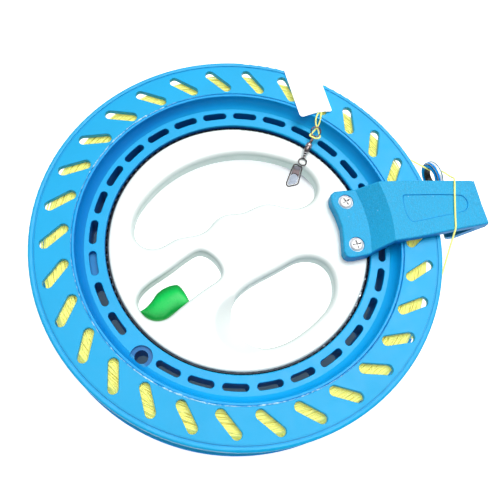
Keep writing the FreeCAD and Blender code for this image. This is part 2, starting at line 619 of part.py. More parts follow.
# ---- guide ring ------------------------------------------------------------
fr = rev([(7.9, -1.75), (8.4, -1.75), (8.6, -1.55), (8.6, 1.55), (8.4, 1.75), (7.9, 1.75)])
tongue = Part.makeBox(12.8, 8.0, 1.2, V(-20.4, -4.0, -0.8)).fuse(cyl(4.0, -0.8, 0.4, -20.4, 0))
tongue = tongue.cut(cyl(8.0, -3, 3)).cut(cyl(1.6, -3, 3, -20.0, 0))
fr = one(fr.fuse(tongue))
save("guide_ring_frame", local(fr, C, et, ez, er))
sl = rev([(5.3, -2.0), (7.9, -2.0), (7.9, 1.5), (7.4, 2.0), (5.3, 2.0)])
save("guide_ring_sleeve", local(sl, C, et, ez, er))
ins = rev([(4.4, -0.9), (5.3, -2.0, 4.68, -1.68), (5.3, 2.0), (4.4, 0.9, 4.68, 1.68)])
save("guide_ring_insert", local(ins, C, et, ez, er))
gsx = rev([(0, 0.4), (2.6, 0.4), (2.6, 1.2), (1.3, 2.2, 2.25, 1.9), (0, 2.3)])
crs = Part.makeBox(2.8, 0.7, 3, V(-1.4, -0.35, 1.2)).fuse(Part.makeBox(0.7, 2.8, 3, V(-0.35, -1.4, 1.2)))
gsx = gsx.cut(crs).fuse(cyl(1.25, -4.2, 0.45))
gsx.translate(V(-20.0, 0, 0))
save("guide_ring_screw", local(one(gsx), C, et, ez, er))

# ---- line between pack and guide -------------------------------------------


def ringpt(a, t, z):
    p = er * a + et * t
    return (p.x, p.y, z)


E1 = uv(123.1, 14.0)
F1 = uv(115.0, -14.6)
T1 = polar(105.35, 59.3, -1.8)
T2 = polar(105.25, -27.2, 2.6)
Q1 = polar(111.15, -7.4, 9.1)
ZL = PLATE_TOP + LINE_D / 2 + 0.05
LINE = [tuple(T1), ringpt(125.0, 3.6, -2.0), ringpt(130.4, 0.5, 1.2), ringpt(129.9, -2.2, 4.8),
        (E1[0], E1[1], ZL + 0.15), (F1[0], F1[1], ZL + 0.1), tuple(Q1), tuple(T2)]
print("route of the running line", [tuple(round(c, 2) for c in p) for p in LINE])
rl = tube("running_line", LINE, LINE_D, [None, 4.0, 4.0, 6.0, 2.2, 3.0, 8.0, None])
save("running_line", rl)

# ---- end loop, tag and snap swivel -----------------------------------------
TAG_Z0, TAG_Z1 = 14.78, 15.88
du, dv = V(0.954, 0.30, 0), V(-0.30, 0.954, 0)
t0 = V(31.2, 76.2, TAG_Z0)
tp = [t0 + du * 1.5, t0 + du * 18.7, t0 + du * 19.2 + dv * 0.8, t0 + du * 19.2 + dv * 33.0,
      t0 + dv * 33.0, t0 + dv * 1.8]
tag = Part.Face(Part.makePolygon(tp + tp[:1])).extrude(V(0, 0, TAG_Z1 - TAG_Z0))
save("tag_card", tag)

lz = (TAG_Z0 + TAG_Z1) / 2
ps = t0 + du * 11.1 - dv * 0.3
pe = t0 + du * 13.0 - dv * 0.3
LOOP = [(ps.x, ps.y, lz), (40.9, 77.3, 15.0), (40.5, 74.6, 13.7), (41.1, 72.2, 12.1),
        (42.6, 70.3, 11.1), (44.0, 68.7, 10.5), (43.9, 66.7, 10.1), (41.9, 65.6, 10.15), (39.6, 65.5, 10.25),
        (38.0, 66.7, 10.15), (38.4, 68.7, 9.95), (40.4, 70.5, 9.95), (42.1, 72.3, 11.0),
        (43.2, 74.6, 13.0), (43.4, 77.0, 14.8), (pe.x, pe.y, lz)]
print("route of the end loop", [tuple(round(c, 2) for c in p) for p in LOOP])
save("end_loop", tube("end_loop", LOOP, LINE_D))

B = V(36.98, 59.85, 8.65)
AX = V(-0.411, -0.911, -0.03).normalize()
SX = AX.cross(V(0, 0, 1)).normalize()
SY = AX.cross(SX)


def along(profile):
    """Revolve (radius, s) about the swivel's axis; s runs towards the snap."""
    return local(rev(profile), B, SX, SY, AX)


barrel = rev([(0.95, -3.0), (1.45, -2.6), (1.75, -1.9, 1.68, -2.3), (1.75, -0.5), (1.5, -0.2), (1.5, 0.2),
              (1.7, 0.5), (1.6, 1.9), (1.3, 2.6, 1.5, 2.3), (0.95, 3.0), (0.56, 3.0), (0.56, 2.3),
              (1.2, 2.1), (1.2, -2.1), (0.56, -2.3), (0.56, -3.0)])
save("swivel_barrel", local(barrel, B, SX, SY, AX))
up_len = 9.9
eye_c = B - AX * up_len
shank = rev([(0, -7.35), (0.62, -7.35), (0.8, -6.6), (0.55, -6.1), (0.8, -5.5), (0.55, -4.9), (0.8, -4.3),
             (0.5, -3.8), (0.5, -2.1), (1.05, -1.9), (1.05, -1.1), (0, -1.1)])
tor = Part.makeTorus(2.35, 0.4)
eye = local(tor, V(eye_c.x, eye_c.y, eye_c.z), V(1, 0, 0), V(0, 1, 0), V(0, 0, 1))
eye = eye.fuse(local(shank, B, SX, SY, AX))
save("swivel_eye", one(eye))
RC = V(34.2, 51.55, 6.15)
lsh = rev([(0, 1.1), (1.05, 1.1), (1.05, 1.9), (0.5, 2.1), (0.5, 3.75), (0.62, 3.9), (0.62, 4.2), (0, 4.2)])
low = local(lsh, B, SX, SY, AX)
p0 = B + AX * 4.1
dirr = (RC - p0).normalize()
pn = RC - V(dirr.x, dirr.y, 0).normalize() * 2.3
n1 = Part.makeCylinder(0.62, (pn - p0).Length, p0, (pn - p0))
low = low.fuse([Part.makeSphere(0.62, p0), n1, Part.makeTorus(2.3, 0.38, RC, V(0, 0, 1))])
for q in (0.25, 0.6):
    low = low.fuse(Part.makeTorus(0.55, 0.32, p0 + (pn - p0) * q, dirr))
save("swivel_lower_ring", one(low))

SNZ = 5.78
SNAP = [(29.7, 50.2), (28.0, 46.4), (26.6, 42.3), (24.9, 37.2), (25.3, 35.75), (26.3, 35.4), (31.6, 37.0),
        (32.5, 41.2), (33.3, 44.8), (34.2, 48.2)]


def closed_tube(pts, z, r):
    n = len(pts)
    P = [V(x, y, z) for x, y in pts]
    edges = []
    firsts, prev = None, None
    for k in range(n):
        a, b, c = P[k - 1], P[k], P[(k + 1) % n]
        d1, d2 = (b - a).normalize(), (c - b).normalize()
        ang = d1.getAngle(d2)
        t = min(0.42 * min((b - a).Length, (c - b).Length), 1.6)
        rr = t / math.tan(ang / 2)
        p1, p2 = b - d1 * t, b + d2 * t
        mid = b + (d2 - d1).normalize() * (rr / math.cos(ang / 2) - rr)
        if prev is not None:
            edges.append(Part.LineSegment(prev, p1).toShape())
        else:
            firsts = p1
        edges.append(Part.Arc(p1, mid, p2).toShape())
        prev = p2
    edges.append(Part.LineSegment(prev, firsts).toShape())
    w = Part.Wire(edges)
    t0_ = (P[0] - P[-1]).normalize()
    prof_ = Part.Wire([Part.Circle(firsts, t0_, r).toShape()])
    s = w.makePipeShell([prof_], True, True)
    return s


# the wire runs under the lower ring and carries the folded plate
sn = closed_tube(SNAP, SNZ - 0.05 - 0.0, 0.36)
low_bb = None
cut_ring = Part.makeTorus(2.3, 0.42, RC, V(0, 0, 1))
save("snap_wire", one(sn.cut(cut_ring)))
inner = [(29.9, 49.1), (28.6, 46.2), (27.2, 42.1), (25.8, 37.6), (26.1, 36.3), (30.9, 37.7), (31.7, 41.3),
         (32.5, 44.9), (33.2, 47.6)]
pl = prism(inner, SNZ - 0.1, SNZ + 0.3)
pl = pl.cut(cut_ring).cut(closed_tube(SNAP, SNZ - 0.05, 0.4))
pls = sorted(pl.Solids, key=lambda s: -s.Volume)
save("snap_plate", pls[0])
print("guide frame: centre", tuple(round(c, 3) for c in C), "axis", tuple(round(c, 4) for c in er))
print("swivel: centre", tuple(round(c, 3) for c in B), "axis", tuple(round(c, 4) for c in AX))
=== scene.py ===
import bpy
import math
import numpy as np
from mathutils import Matrix, Vector


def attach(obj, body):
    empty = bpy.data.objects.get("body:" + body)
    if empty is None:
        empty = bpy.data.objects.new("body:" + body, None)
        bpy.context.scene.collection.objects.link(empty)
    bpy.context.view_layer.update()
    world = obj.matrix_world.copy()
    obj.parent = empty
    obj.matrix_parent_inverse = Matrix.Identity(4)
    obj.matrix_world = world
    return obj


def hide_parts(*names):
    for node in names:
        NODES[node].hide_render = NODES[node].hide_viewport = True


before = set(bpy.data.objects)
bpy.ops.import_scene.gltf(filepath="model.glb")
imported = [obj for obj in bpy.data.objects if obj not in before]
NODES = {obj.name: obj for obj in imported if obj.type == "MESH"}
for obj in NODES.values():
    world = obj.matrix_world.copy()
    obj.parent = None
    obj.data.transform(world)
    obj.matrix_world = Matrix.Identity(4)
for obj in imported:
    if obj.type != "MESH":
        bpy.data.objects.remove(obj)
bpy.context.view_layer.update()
MM = 0.001
SC = bpy.context.scene
COL = SC.collection
TAU = 2 * math.pi
rng = np.random.default_rng(7)


def lin(r, g, b):
    out = []
    for c in (r, g, b):
        c /= 255.0
        out.append(c / 12.92 if c <= 0.04045 else ((c + 0.055) / 1.055) ** 2.4)
    return out


# ---------------------------------------------------------------- camera
R = [[0.9939447, 0.02618819, 0.10671511], [0.06216433, -0.93483953, -0.34958639],
     [0.09060647, 0.35410341, -0.93080677]]
cam_data = bpy.data.cameras.new("camera")
cam_data.sensor_width = 36.0
cam_data.sensor_fit = "HORIZONTAL"
cam_data.lens = 45.82
cam_data.clip_start, cam_data.clip_end = 0.01, 20.0
cam = bpy.data.objects.new("camera", cam_data)
COL.objects.link(cam)
m3 = Matrix(((R[0][0], -R[1][0], -R[2][0]), (R[0][1], -R[1][1], -R[2][1]), (R[0][2], -R[1][2], -R[2][2])))
cam.matrix_world = Matrix.Translation(Vector((-0.02592, -0.12652, 0.32633))) @ m3.to_4x4()
SC.camera = cam


# ---------------------------------------------------------------- mesh helpers
def add_mesh(name, verts, faces, uvs=None, smooth=True):
    me = bpy.data.meshes.new(name)
    verts = np.asarray(verts, float)
    me.from_pydata([tuple(v) for v in verts], [], [tuple(f) for f in faces])
    if uvs is not None:
        layer = me.uv_layers.new(name="along")
        idx = np.zeros(len(me.loops), np.int32)
        me.loops.foreach_get("vertex_index", idx)
        flat = uvs(idx, me) if callable(uvs) else np.asarray(uvs, float)[idx]
        layer.data.foreach_set("uv", np.asarray(flat, np.float32).ravel())
    me.update()
    if smooth:
        me.polygons.foreach_set("use_smooth", [True] * len(me.polygons))
    ob = bpy.data.objects.new(name, me)
    COL.objects.link(ob)
    return ob


def frames_along(P, closed=False):
    """Unit tangents and two normals carried along a line without twist."""
    P = np.asarray(P, float)
    if closed:
        T = np.roll(P, -1, 0) - np.roll(P, 1, 0)
    else:
        T = np.gradient(P, axis=0)
    T /= np.maximum(np.linalg.norm(T, axis=1), 1e-12)[:, None]
    A = np.zeros_like(P)
    a = np.cross(T[0], (0, 0, 1.0))
    if np.linalg.norm(a) < 1e-3:
        a = np.cross(T[0], (1.0, 0, 0))
    A[0] = a / np.linalg.norm(a)
    for i in range(1, len(P)):
        v = A[i - 1] - T[i] * (A[i - 1] @ T[i])
        A[i] = v / np.linalg.norm(v)
    if closed:
        v = A[-1] - T[0] * (A[-1] @ T[0])
        v /= np.linalg.norm(v)
        ang = math.atan2(float(np.cross(v, A[0]) @ T[0]), float(v @ A[0]))
        k = np.linspace(0, 1, len(P), endpoint=False) * ang
        Bv = np.cross(T, A)
        A = A * np.cos(k)[:, None] + Bv * np.sin(k)[:, None]
    return T, A, np.cross(T, A)


def resample(P, step, closed=False):
    P = np.asarray(P, float)
    if closed:
        P = np.vstack([P, P[:1]])
    s = np.r_[0, np.cumsum(np.linalg.norm(np.diff(P, axis=0), axis=1))]
    n = max(3, int(math.ceil(s[-1] / step)) + 1)
    t = np.linspace(0, s[-1], n)
    out = np.stack([np.interp(t, s, P[:, k]) for k in range(3)], 1)
    return out[:-1] if closed else out


class Tubes:
    """Collects tubes in one mesh; u runs in mm along each tube, v round it."""

    def __init__(self):
        self.v, self.f, self.uv, self.n = [], [], [], 0

    def add(self, P, r, sides=6, closed=False, cap=True, squash=None):
        P = np.asarray(P, float)
        n = len(P)
        r = np.broadcast_to(np.asarray(r, float), (n,))
        T, A, B = frames_along(P, closed)
        ang = np.arange(sides) * TAU / sides
        ring = P[:, None, :] + r[:, None, None] * (
            A[:, None, :] * np.cos(ang)[None, :, None] + B[:, None, :] * np.sin(ang)[None, :, None])
        if squash is not None:
            ring = P[:, None, :] + (ring - P[:, None, :]) * np.asarray(squash)[None, None, :]
        s = np.r_[0, np.cumsum(np.linalg.norm(np.diff(P, axis=0), axis=1))]
        base = self.n
        self.v.append(ring.reshape(-1, 3))
        self.uv.append(np.stack([np.repeat(s, sides), np.tile(ang / TAU, n)], 1))
        m = n if closed else n - 1
        i = np.arange(m)[:, None]
        j = np.arange(sides)[None, :]
        i2, j2 = (i + 1) % n, (j + 1) % sides
        q = np.stack([base + i * sides + j, base + i2 * sides + j, base + i2 * sides + j2,
                      base + i * sides + j2], -1).reshape(-1, 4)
        self.f += q[:, ::-1].tolist()
        self.n += n * sides
        if cap and not closed:
            for k, p, sign in ((0, P[0] - T[0] * r[0] * 0.55, 1), (n - 1, P[-1] + T[-1] * r[-1] * 0.55, -1)):
                self.v.append(p[None, :])
                self.uv.append(np.array([[s[k], 0.5]]))
                a = base + k * sides
                for jj in range(sides):
                    t = (self.n, a + jj, a + (jj + 1) % sides)
                    self.f.append(t if sign < 0 else t[::-1])
                self.n += 1

    def build(self, name):
        V, UV = np.vstack(self.v) * MM, np.vstack(self.uv)
        return add_mesh(name, V, self.f, UV)


def revolve(name, prof, n=96, origin=(0, 0, 0), ex=(1, 0, 0), ey=(0, 1, 0), ez=(0, 0, 1), closed=False):
    """Surface of revolution of (radius, height) points in mm about a local axis."""
    ex, ey, ez = (np.array(v, float) for v in (ex, ey, ez))
    o = np.array(origin, float)
    a = np.arange(n) * TAU / n
    V, F = [], []
    prof = list(prof)
    for r, z in prof:
        V.append(o + z * ez + r * (np.cos(a)[:, None] * ex + np.sin(a)[:, None] * ey))
    V = np.vstack(V)
    m = len(prof)
    for i in range(m if closed else m - 1):
        i2 = (i + 1) % m
        for j in range(n):
            j2 = (j + 1) % n
            F.append((i * n + j, i * n + j2, i2 * n + j2, i2 * n + j))
    return V, F


def round_prof(pts, r=0.15, n=4):
    """Rounds the corners of an open profile."""
    out = [pts[0]]
    for a, b, c in zip(pts, pts[1:], pts[2:]):
        a, b, c = (np.array(p, float) for p in (a, b, c))
        d1, d2 = a - b, c - b
        l1, l2 = np.linalg.norm(d1), np.linalg.norm(d2)
        t = min(r, 0.4 * l1, 0.4 * l2)
        p, q = b + d1 / l1 * t, b + d2 / l2 * t
        for k in range(n + 1):
            u = k / n
            out.append(tuple((1 - u) ** 2 * p + 2 * u * (1 - u) * b + u * u * q))
    out.append(pts[-1])
    return out


def smooth_noise(n, knots, amp, seed, closed=True):
    """Smooth random values along n samples."""
    g = np.random.default_rng(seed)
    k = g.normal(0, 1, knots)
    x = np.linspace(0, knots if closed else knots - 1, n, endpoint=not closed)
    i = np.floor(x).astype(int)
    f = x - i
    f = f * f * (3 - 2 * f)
    if not closed:
        i = np.minimum(i, knots - 2)
        f = x - i
        f = f * f * (3 - 2 * f)
        return amp * ((1 - f) * k[i] + f * k[i + 1])
    return amp * ((1 - f) * k[i % knots] + f * k[(i + 1) % knots])


# ---------------------------------------------------------------- node material helpers
class Mat:
    def __init__(self, name, base, rough=0.45, **sockets):
        self.m = bpy.data.materials.new(name)
        self.m.use_nodes = True
        self.t = self.m.node_tree
        self.t.nodes.clear()
        self.out = self.t.nodes.new("ShaderNodeOutputMaterial")
        self.b = self.t.nodes.new("ShaderNodeBsdfPrincipled")
        self.t.links.new(self.b.outputs[0], self.out.inputs[0])
        self.base = list(base)
        self.b.inputs["Base Color"].default_value = (*self.base, 1)
        self.b.inputs["Roughness"].default_value = rough
        for k, v in sockets.items():
            self.b.inputs[k.replace("_", " ")].default_value = v
        self.tc = self.t.nodes.new("ShaderNodeTexCoord")
        self.last_normal = None

    def node(self, kind, **kw):
        n = self.t.nodes.new(kind)
        for k, v in kw.items():
            setattr(n, k, v)
        return n

    def link(self, a, b):
        self.t.links.new(a, b)

    def coords(self, scale=(1, 1, 1), rot=(0, 0, 0), kind="Object"):
        mp = self.node("ShaderNodeMapping")
        mp.inputs["Scale"].default_value = scale
        mp.inputs["Rotation"].default_value = rot
        self.link(self.tc.outputs[kind], mp.inputs["Vector"])
        return mp.outputs[0]

    def noise(self, scale, detail=3.0, rough=0.55, vec=None, distortion=0.0):
        n = self.node("ShaderNodeTexNoise")
        n.inputs["Scale"].default_value = scale
        n.inputs["Detail"].default_value = detail
        n.inputs["Roughness"].default_value = rough
        n.inputs["Distortion"].default_value = distortion
        self.link(vec if vec is not None else self.tc.outputs["Object"], n.inputs["Vector"])
        return n.outputs["Fac"]

    def voronoi(self, scale, vec=None, feature="F1"):
        n = self.node("ShaderNodeTexVoronoi", feature=feature)
        n.inputs["Scale"].default_value = scale
        self.link(vec if vec is not None else self.tc.outputs["Object"], n.inputs["Vector"])
        return n.outputs["Distance"]

    def rng(self, val, a, b, c, d, clamp=True):
        n = self.node("ShaderNodeMapRange", clamp=clamp)
        for i, v in zip((1, 2, 3, 4), (a, b, c, d)):
            n.inputs[i].default_value = v
        self.link(val, n.inputs[0])
        return n.outputs[0]

    def math(self, op, a, b=None):
        n = self.node("ShaderNodeMath", operation=op)
        for i, v in enumerate((a, b)):
            if v is None:
                continue
            if isinstance(v, (int, float)):
                n.inputs[i].default_value = v
            else:
                self.link(v, n.inputs[i])
        return n.outputs[0]

    def mix(self, fac, a, b, blend="MIX"):
        n = self.node("ShaderNodeMix", data_type="RGBA", blend_type=blend)
        for sock, v in ((n.inputs[0], fac), (n.inputs[6], a), (n.inputs[7], b)):
            if isinstance(v, (int, float)):
                sock.default_value = v
            elif isinstance(v, (tuple, list)):
                sock.default_value = (*v[:3], 1)
            else:
                self.link(v, sock)
        return n.outputs[2]

    def color(self, c):
        self.link(c, self.b.inputs["Base Color"])

    def rough(self, r):
        self.link(r, self.b.inputs["Roughness"])

    def bump(self, height, strength, dist):
        n = self.node("ShaderNodeBump")
        n.inputs["Strength"].default_value = strength
        n.inputs["Distance"].default_value = dist
        self.link(height, n.inputs["Height"])
        if self.last_normal is not None:
            self.link(self.last_normal, n.inputs["Normal"])
        self.last_normal = n.outputs[0]
        self.link(n.outputs[0], self.b.inputs["Normal"])


def shade(c, k):
    return [min(1.0, x * k) for x in c]


def moulded(name, col, rough=0.34, grain=0.0, mottle=0.05, specular=0.5, coat=0.0, edge=None):
    """Injection moulded plastic: faint flow marks, fine skin, specks of dust."""
    a = Mat(name, col, rough)
    a.b.inputs["Specular IOR Level"].default_value = specular
    if coat:
        a.b.inputs["Coat Weight"].default_value = coat
        a.b.inputs["Coat Roughness"].default_value = 0.12
    flow = a.noise(26.0, 4.0, 0.6, distortion=0.6)
    c = a.mix(a.rng(flow, 0.3, 0.7, 0, 1), shade(col, 1 - mottle), shade(col, 1 + mottle))
    fine = a.noise(900.0, 2.0)
    c = a.mix(a.rng(fine, 0.35, 0.75, 0, 0.12), c, shade(col, 1.12))
    a.color(c)
    a.rough(a.rng(a.noise(160.0, 3.0), 0.3, 0.7, rough - 0.05, rough + 0.07))
    a.bump(a.noise(70.0, 2.0), 0.25, 0.00012)
    if grain:
        a.bump(a.noise(2600.0, 2.0, 0.6), grain, 0.00006)
    return a


BLUE = [0.0, 0.398, 0.765]
ARM = [0.006, 0.385, 0.70]
GREEN = [0.0, 0.60, 0.095]

m_blue = moulded("wheel_blue", BLUE, 0.40, grain=0.14, mottle=0.035, specular=0.3)
m_hub = moulded("hub_blue", BLUE, 0.38, grain=0.10, mottle=0.035, specular=0.3)
m_rear = moulded("rear_blue", [0.0, 0.30, 0.86], 0.40, grain=0.14, mottle=0.035, specular=0.2)
m_dark = moulded("inner_blue", lin(4, 40, 110), 0.5, grain=0.1, specular=0.2)


def gap_painted_light(a, r0, r1, z1, dark, base_link):
    """Paints a colour into the gap between grip and wheel, by radius and height: painted shade, and on the hub a
    painted glow too.
    """
    sep = a.node("ShaderNodeSeparateXYZ")
    a.link(a.tc.outputs["Object"], sep.inputs[0])
    x2 = a.math("MULTIPLY", sep.outputs[0], sep.outputs[0])
    y2 = a.math("MULTIPLY", sep.outputs[1], sep.outputs[1])
    rad = a.math("SQRT", a.math("ADD", x2, y2))
    near = a.math("MULTIPLY", a.rng(rad, r0 - 0.00008, r0 + 0.00008, 0, 1), a.rng(rad, r1 - 0.00008, r1 + 0.00008, 1, 0))
    low = a.rng(sep.outputs[2], z1 - 0.0003, z1 + 0.0003, 1, 0)
    return a.mix(a.math("MULTIPLY", near, low), base_link, dark)


def base_of(a):
    return a.b.inputs["Base Color"].links[0].from_socket


# painted shade: deep blue on the hub's bore wall low in the gap
m_hub.color(gap_painted_light(m_hub, 0.0700, 0.0724, 0.0052, lin(5, 62, 128), base_of(m_hub)))
# painted glow: a faint blue emission on the same bore wall in the gap
m_hub.link(gap_painted_light(m_hub, 0.0700, 0.0724, 0.0052, (0.002, 0.022, 0.075), (0.0, 0.0, 0.0)), m_hub.b.inputs["Emission Color"])
m_hub.b.inputs["Emission Strength"].default_value = 1.0


def radial_shade(a, r0, r1, r2, tint, z0, z1):
    """Painted shade between two radii: a tint multiplied in, faded in over a band of height."""
    sep = a.node("ShaderNodeSeparateXYZ")
    a.link(a.tc.outputs["Object"], sep.inputs[0])
    rad = a.math("SQRT", a.math("ADD", a.math("MULTIPLY", sep.outputs[0], sep.outputs[0]),
                                a.math("MULTIPLY", sep.outputs[1], sep.outputs[1])))
    f = a.math("MULTIPLY", a.rng(rad, r0, r1, 0, 1), a.rng(rad, r2 - 0.0002, r2, 1, 0))
    f = a.math("MULTIPLY", f, a.rng(sep.outputs[2], z0, z1, 0, 1))
    a.color(a.mix(f, base_of(a), tint, blend="MULTIPLY"))


# painted shade: a bluer, deeper tint on the hub's cove wall above 6 mm
radial_shade(m_hub, 0.0824, 0.0844, 0.0884, (0.55, 0.94, 1.08), 0.0060, 0.0068)
# painted shade: hub faces that turn towards +x are darkened
wgeo = m_hub.node("ShaderNodeNewGeometry")
side_shade_dot = m_hub.node("ShaderNodeVectorMath", operation="DOT_PRODUCT")
m_hub.link(wgeo.outputs["Normal"], side_shade_dot.inputs[0])
side_shade_dot.inputs[1].default_value = (0.99, -0.10, 0.0)
m_hub.color(m_hub.mix(m_hub.rng(side_shade_dot.outputs["Value"], 0.05, 0.62, 0, 1), base_of(m_hub), (0.36, 0.58, 0.76), blend="MULTIPLY"))
# slot walls of the hub lie in deep shade
radial_shade(m_hub, 0.0738, 0.0744, 0.0830, (0.4, 0.50, 0.66), 0.0060, 0.0056)
# painted shade line inside the flange's outer lip
radial_shade(m_blue, 0.10655, 0.1067, 0.1072, (0.5, 0.70, 0.78), 0.0130, 0.0138)

# painted shade: the crank seat's counterbore is tinted a deeper blue
kd = m_hub.node("ShaderNodeVectorMath", operation="DISTANCE")
m_hub.link(m_hub.tc.outputs["Object"], kd.inputs[0])
kd.inputs[1].default_value = (-0.0478, -0.0652, 0.003)
kf = m_hub.rng(kd.outputs["Value"], 0.0066, 0.0070, 1, 0)
ksep = m_hub.node("ShaderNodeSeparateXYZ")
m_hub.link(m_hub.tc.outputs["Object"], ksep.inputs[0])
kf = m_hub.math("MULTIPLY", kf, m_hub.rng(ksep.outputs[2], 0.0058, 0.0062, 1, 0))
m_hub.color(m_hub.mix(kf, base_of(m_hub), (0.10, 0.74, 0.80), blend="MULTIPLY"))

# guide arm: matt blue with a fine grain that runs across it
m_arm = Mat("arm_blue_grain", ARM, 0.55)
vec = m_arm.coords((1.0, 1.0, 1.0), (0, 0, math.radians(-12.1)))
st = m_arm.node("ShaderNodeMapping")
st.inputs["Scale"].default_value = (3.2, 0.9, 1.0)
m_arm.link(vec, st.inputs["Vector"])
g1 = m_arm.noise(620.0, 3.0, 0.65, st.outputs[0])
g2 = m_arm.noise(1500.0, 2.0, 0.6)
mo = m_arm.noise(30.0, 3.0)
c = m_arm.mix(m_arm.rng(g1, 0.36, 0.64, 0, 1), shade(ARM, 0.80), shade(ARM, 1.14))
c = m_arm.mix(m_arm.rng(g2, 0.38, 0.62, 0, 0.35), c, (0.02, 0.27, 0.56))
c = m_arm.mix(m_arm.rng(m_arm.noise(1700.0, 2.0, 0.6), 0.50, 0.70, 0, 0.35), c, (0.14, 0.60, 0.92))
c = m_arm.mix(m_arm.rng(mo, 0.35, 0.65, 0, 0.5), c, shade(ARM, 1.03))
specks = m_arm.voronoi(170.0)
c = m_arm.mix(m_arm.rng(specks, 0.0, 0.055, 0.55, 0.0), c, (0.75, 0.9, 1.0))
m_arm.b.inputs["Specular IOR Level"].default_value = 0.3
asep = m_arm.node("ShaderNodeSeparateXYZ")
m_arm.link(m_arm.tc.outputs["Object"], asep.inputs[0])
ageo = m_arm.node("ShaderNodeNewGeometry")
anz = m_arm.node("ShaderNodeSeparateXYZ")
m_arm.link(ageo.outputs["Normal"], anz.inputs[0])
# painted shade under the arm's top plate, on upward faces inside the hook
hook_inner_shade = m_arm.math("MULTIPLY", m_arm.rng(asep.outputs[2], 0.0165, 0.0175, 1, 0), m_arm.rng(asep.outputs[0], 0.108, 0.112, 0, 1))
hook_inner_shade = m_arm.math("MULTIPLY", hook_inner_shade, m_arm.rng(anz.outputs[2], 0.05, 0.4, 0, 1))
c = m_arm.mix(hook_inner_shade, c, (0.30, 0.42, 0.50), blend="MULTIPLY")
# painted shade: arm faces that turn towards -y are darker
c = m_arm.mix(m_arm.rng(anz.outputs[1], -0.85, -0.45, 1, 0), c, (0.40, 0.70, 0.95), blend="MULTIPLY")
m_arm.color(c)
m_arm.rough(m_arm.rng(g1, 0.3, 0.7, 0.46, 0.62))
m_arm.bump(g2, 0.5, 0.00012)
m_arm.bump(g1, 0.55, 0.00022)

WHITE = [0.83, 0.89, 0.868]
m_white = Mat("grip_white", WHITE, 0.33)
fl = m_white.noise(22.0, 4.0, 0.6, distortion=0.5)
c = m_white.mix(m_white.rng(fl, 0.3, 0.7, 0, 1), shade(WHITE, 0.985), shade(WHITE, 1.015))
spk = m_white.voronoi(62.0)
c = m_white.mix(m_white.rng(spk, 0.0, 0.02, 0.35, 0.0), c, (0.45, 0.43, 0.40))
geo = m_white.node("ShaderNodeNewGeometry")
gsep = m_white.node("ShaderNodeSeparateXYZ")
m_white.link(geo.outputs["Normal"], gsep.inputs[0])
# painted shade: sloped faces of the grip above -4.6 mm turn grey-green
slope = m_white.rng(m_white.math("ABSOLUTE", gsep.outputs[2]), 0.25, 0.97, 1, 0)
wx = m_white.node("ShaderNodeSeparateXYZ")
m_white.link(m_white.tc.outputs["Object"], wx.inputs[0])
up_ = m_white.rng(wx.outputs[2], -0.0046, -0.0036, 0, 1)
c = m_white.mix(m_white.math("MULTIPLY", slope, up_), c, (0.60, 0.71, 0.69), blend="MULTIPLY")
# painted shade: a grey line on steep faces that turn towards +y, the near edges of the openings
near_edge_shade = m_white.math("MULTIPLY", m_white.rng(gsep.outputs[1], 0.35, 0.85, 0, 1), up_)
near_edge_shade = m_white.math("MULTIPLY", near_edge_shade, m_white.rng(gsep.outputs[2], 0.75, 0.35, 0, 1))
c = m_white.mix(near_edge_shade, c, (0.50, 0.46, 0.44), blend="MULTIPLY")
# painted shade: the grip's rim wall goes near black in the gap to the wheel
m_white.color(gap_painted_light(m_white, 0.0703, 0.0720, 0.0008, lin(6, 10, 22), c))
m_white.rough(m_white.rng(m_white.noise(140.0), 0.3, 0.7, 0.28, 0.40))
m_white.bump(m_white.noise(60.0, 2.0), 0.2, 0.0001)
m_white.bump(m_white.noise(2400.0, 2.0), 0.06, 0.00005)

m_green = Mat("lever_green", GREEN, 0.27)
m_green.b.inputs["Specular IOR Level"].default_value = 0.24
fl = m_green.noise(60.0, 3.0)
m_green.color(m_green.mix(m_green.rng(fl, 0.3, 0.7, 0, 1), shade(GREEN, 0.95), shade(GREEN, 1.06)))
m_green.rough(m_green.rng(m_green.noise(300.0), 0.3, 0.7, 0.24, 0.32))
m_green.bump(m_green.noise(60.0, 1.0), 0.06, 0.0001)


def line_mat(name, col, plait_shade_and_dirt=0.5, p=1.4, glow=0.22):
    """Braided line: plaits that cross along and round the tube, painted shade and dirt between them, painted pale
    flecks and a faint painted glow.
    """
    a = Mat(name, col, 0.62)
    a.b.inputs["Sheen Weight"].default_value = 0.25
    a.b.inputs["Sheen Roughness"].default_value = 0.5
    uv = a.node("ShaderNodeUVMap", uv_map="along")
    sep = a.node("ShaderNodeSeparateXYZ")
    a.link(uv.outputs[0], sep.inputs[0])
    u = a.math("MULTIPLY", sep.outputs[0], TAU / p)
    v = a.math("MULTIPLY", sep.outputs[1], TAU * 2)
    s1 = a.math("SINE", a.math("ADD", u, v))
    s2 = a.math("SINE", a.math("SUBTRACT", u, v))
    h = a.math("MULTIPLY", s1, s2)
    dark = a.rng(h, -1.0, 0.25, 1.0, 0.0)
    blot = a.noise(420.0, 3.0)
    fac = a.math("MULTIPLY", dark, a.rng(blot, 0.3, 0.7, 0.45 * plait_shade_and_dirt, 1.0 * plait_shade_and_dirt))
    c = a.mix(fac, col, lin(164, 148, 44))
    # painted highlights: pale flecks on the strands
    c = a.mix(a.rng(a.noise(2400.0, 2.0), 0.45, 0.8, 0.0, 0.5), c, lin(255, 255, 190))
    a.color(c)
    # painted glow: the line emits a little of its own colour
    a.link(c, a.b.inputs["Emission Color"])
    a.b.inputs["Emission Strength"].default_value = glow
    a.rough(a.rng(blot, 0.3, 0.7, 0.52, 0.7))
    a.bump(h, 0.5, 0.00012)
    a.bump(a.noise(5200.0, 2.0), 0.25, 0.00004)
    return a


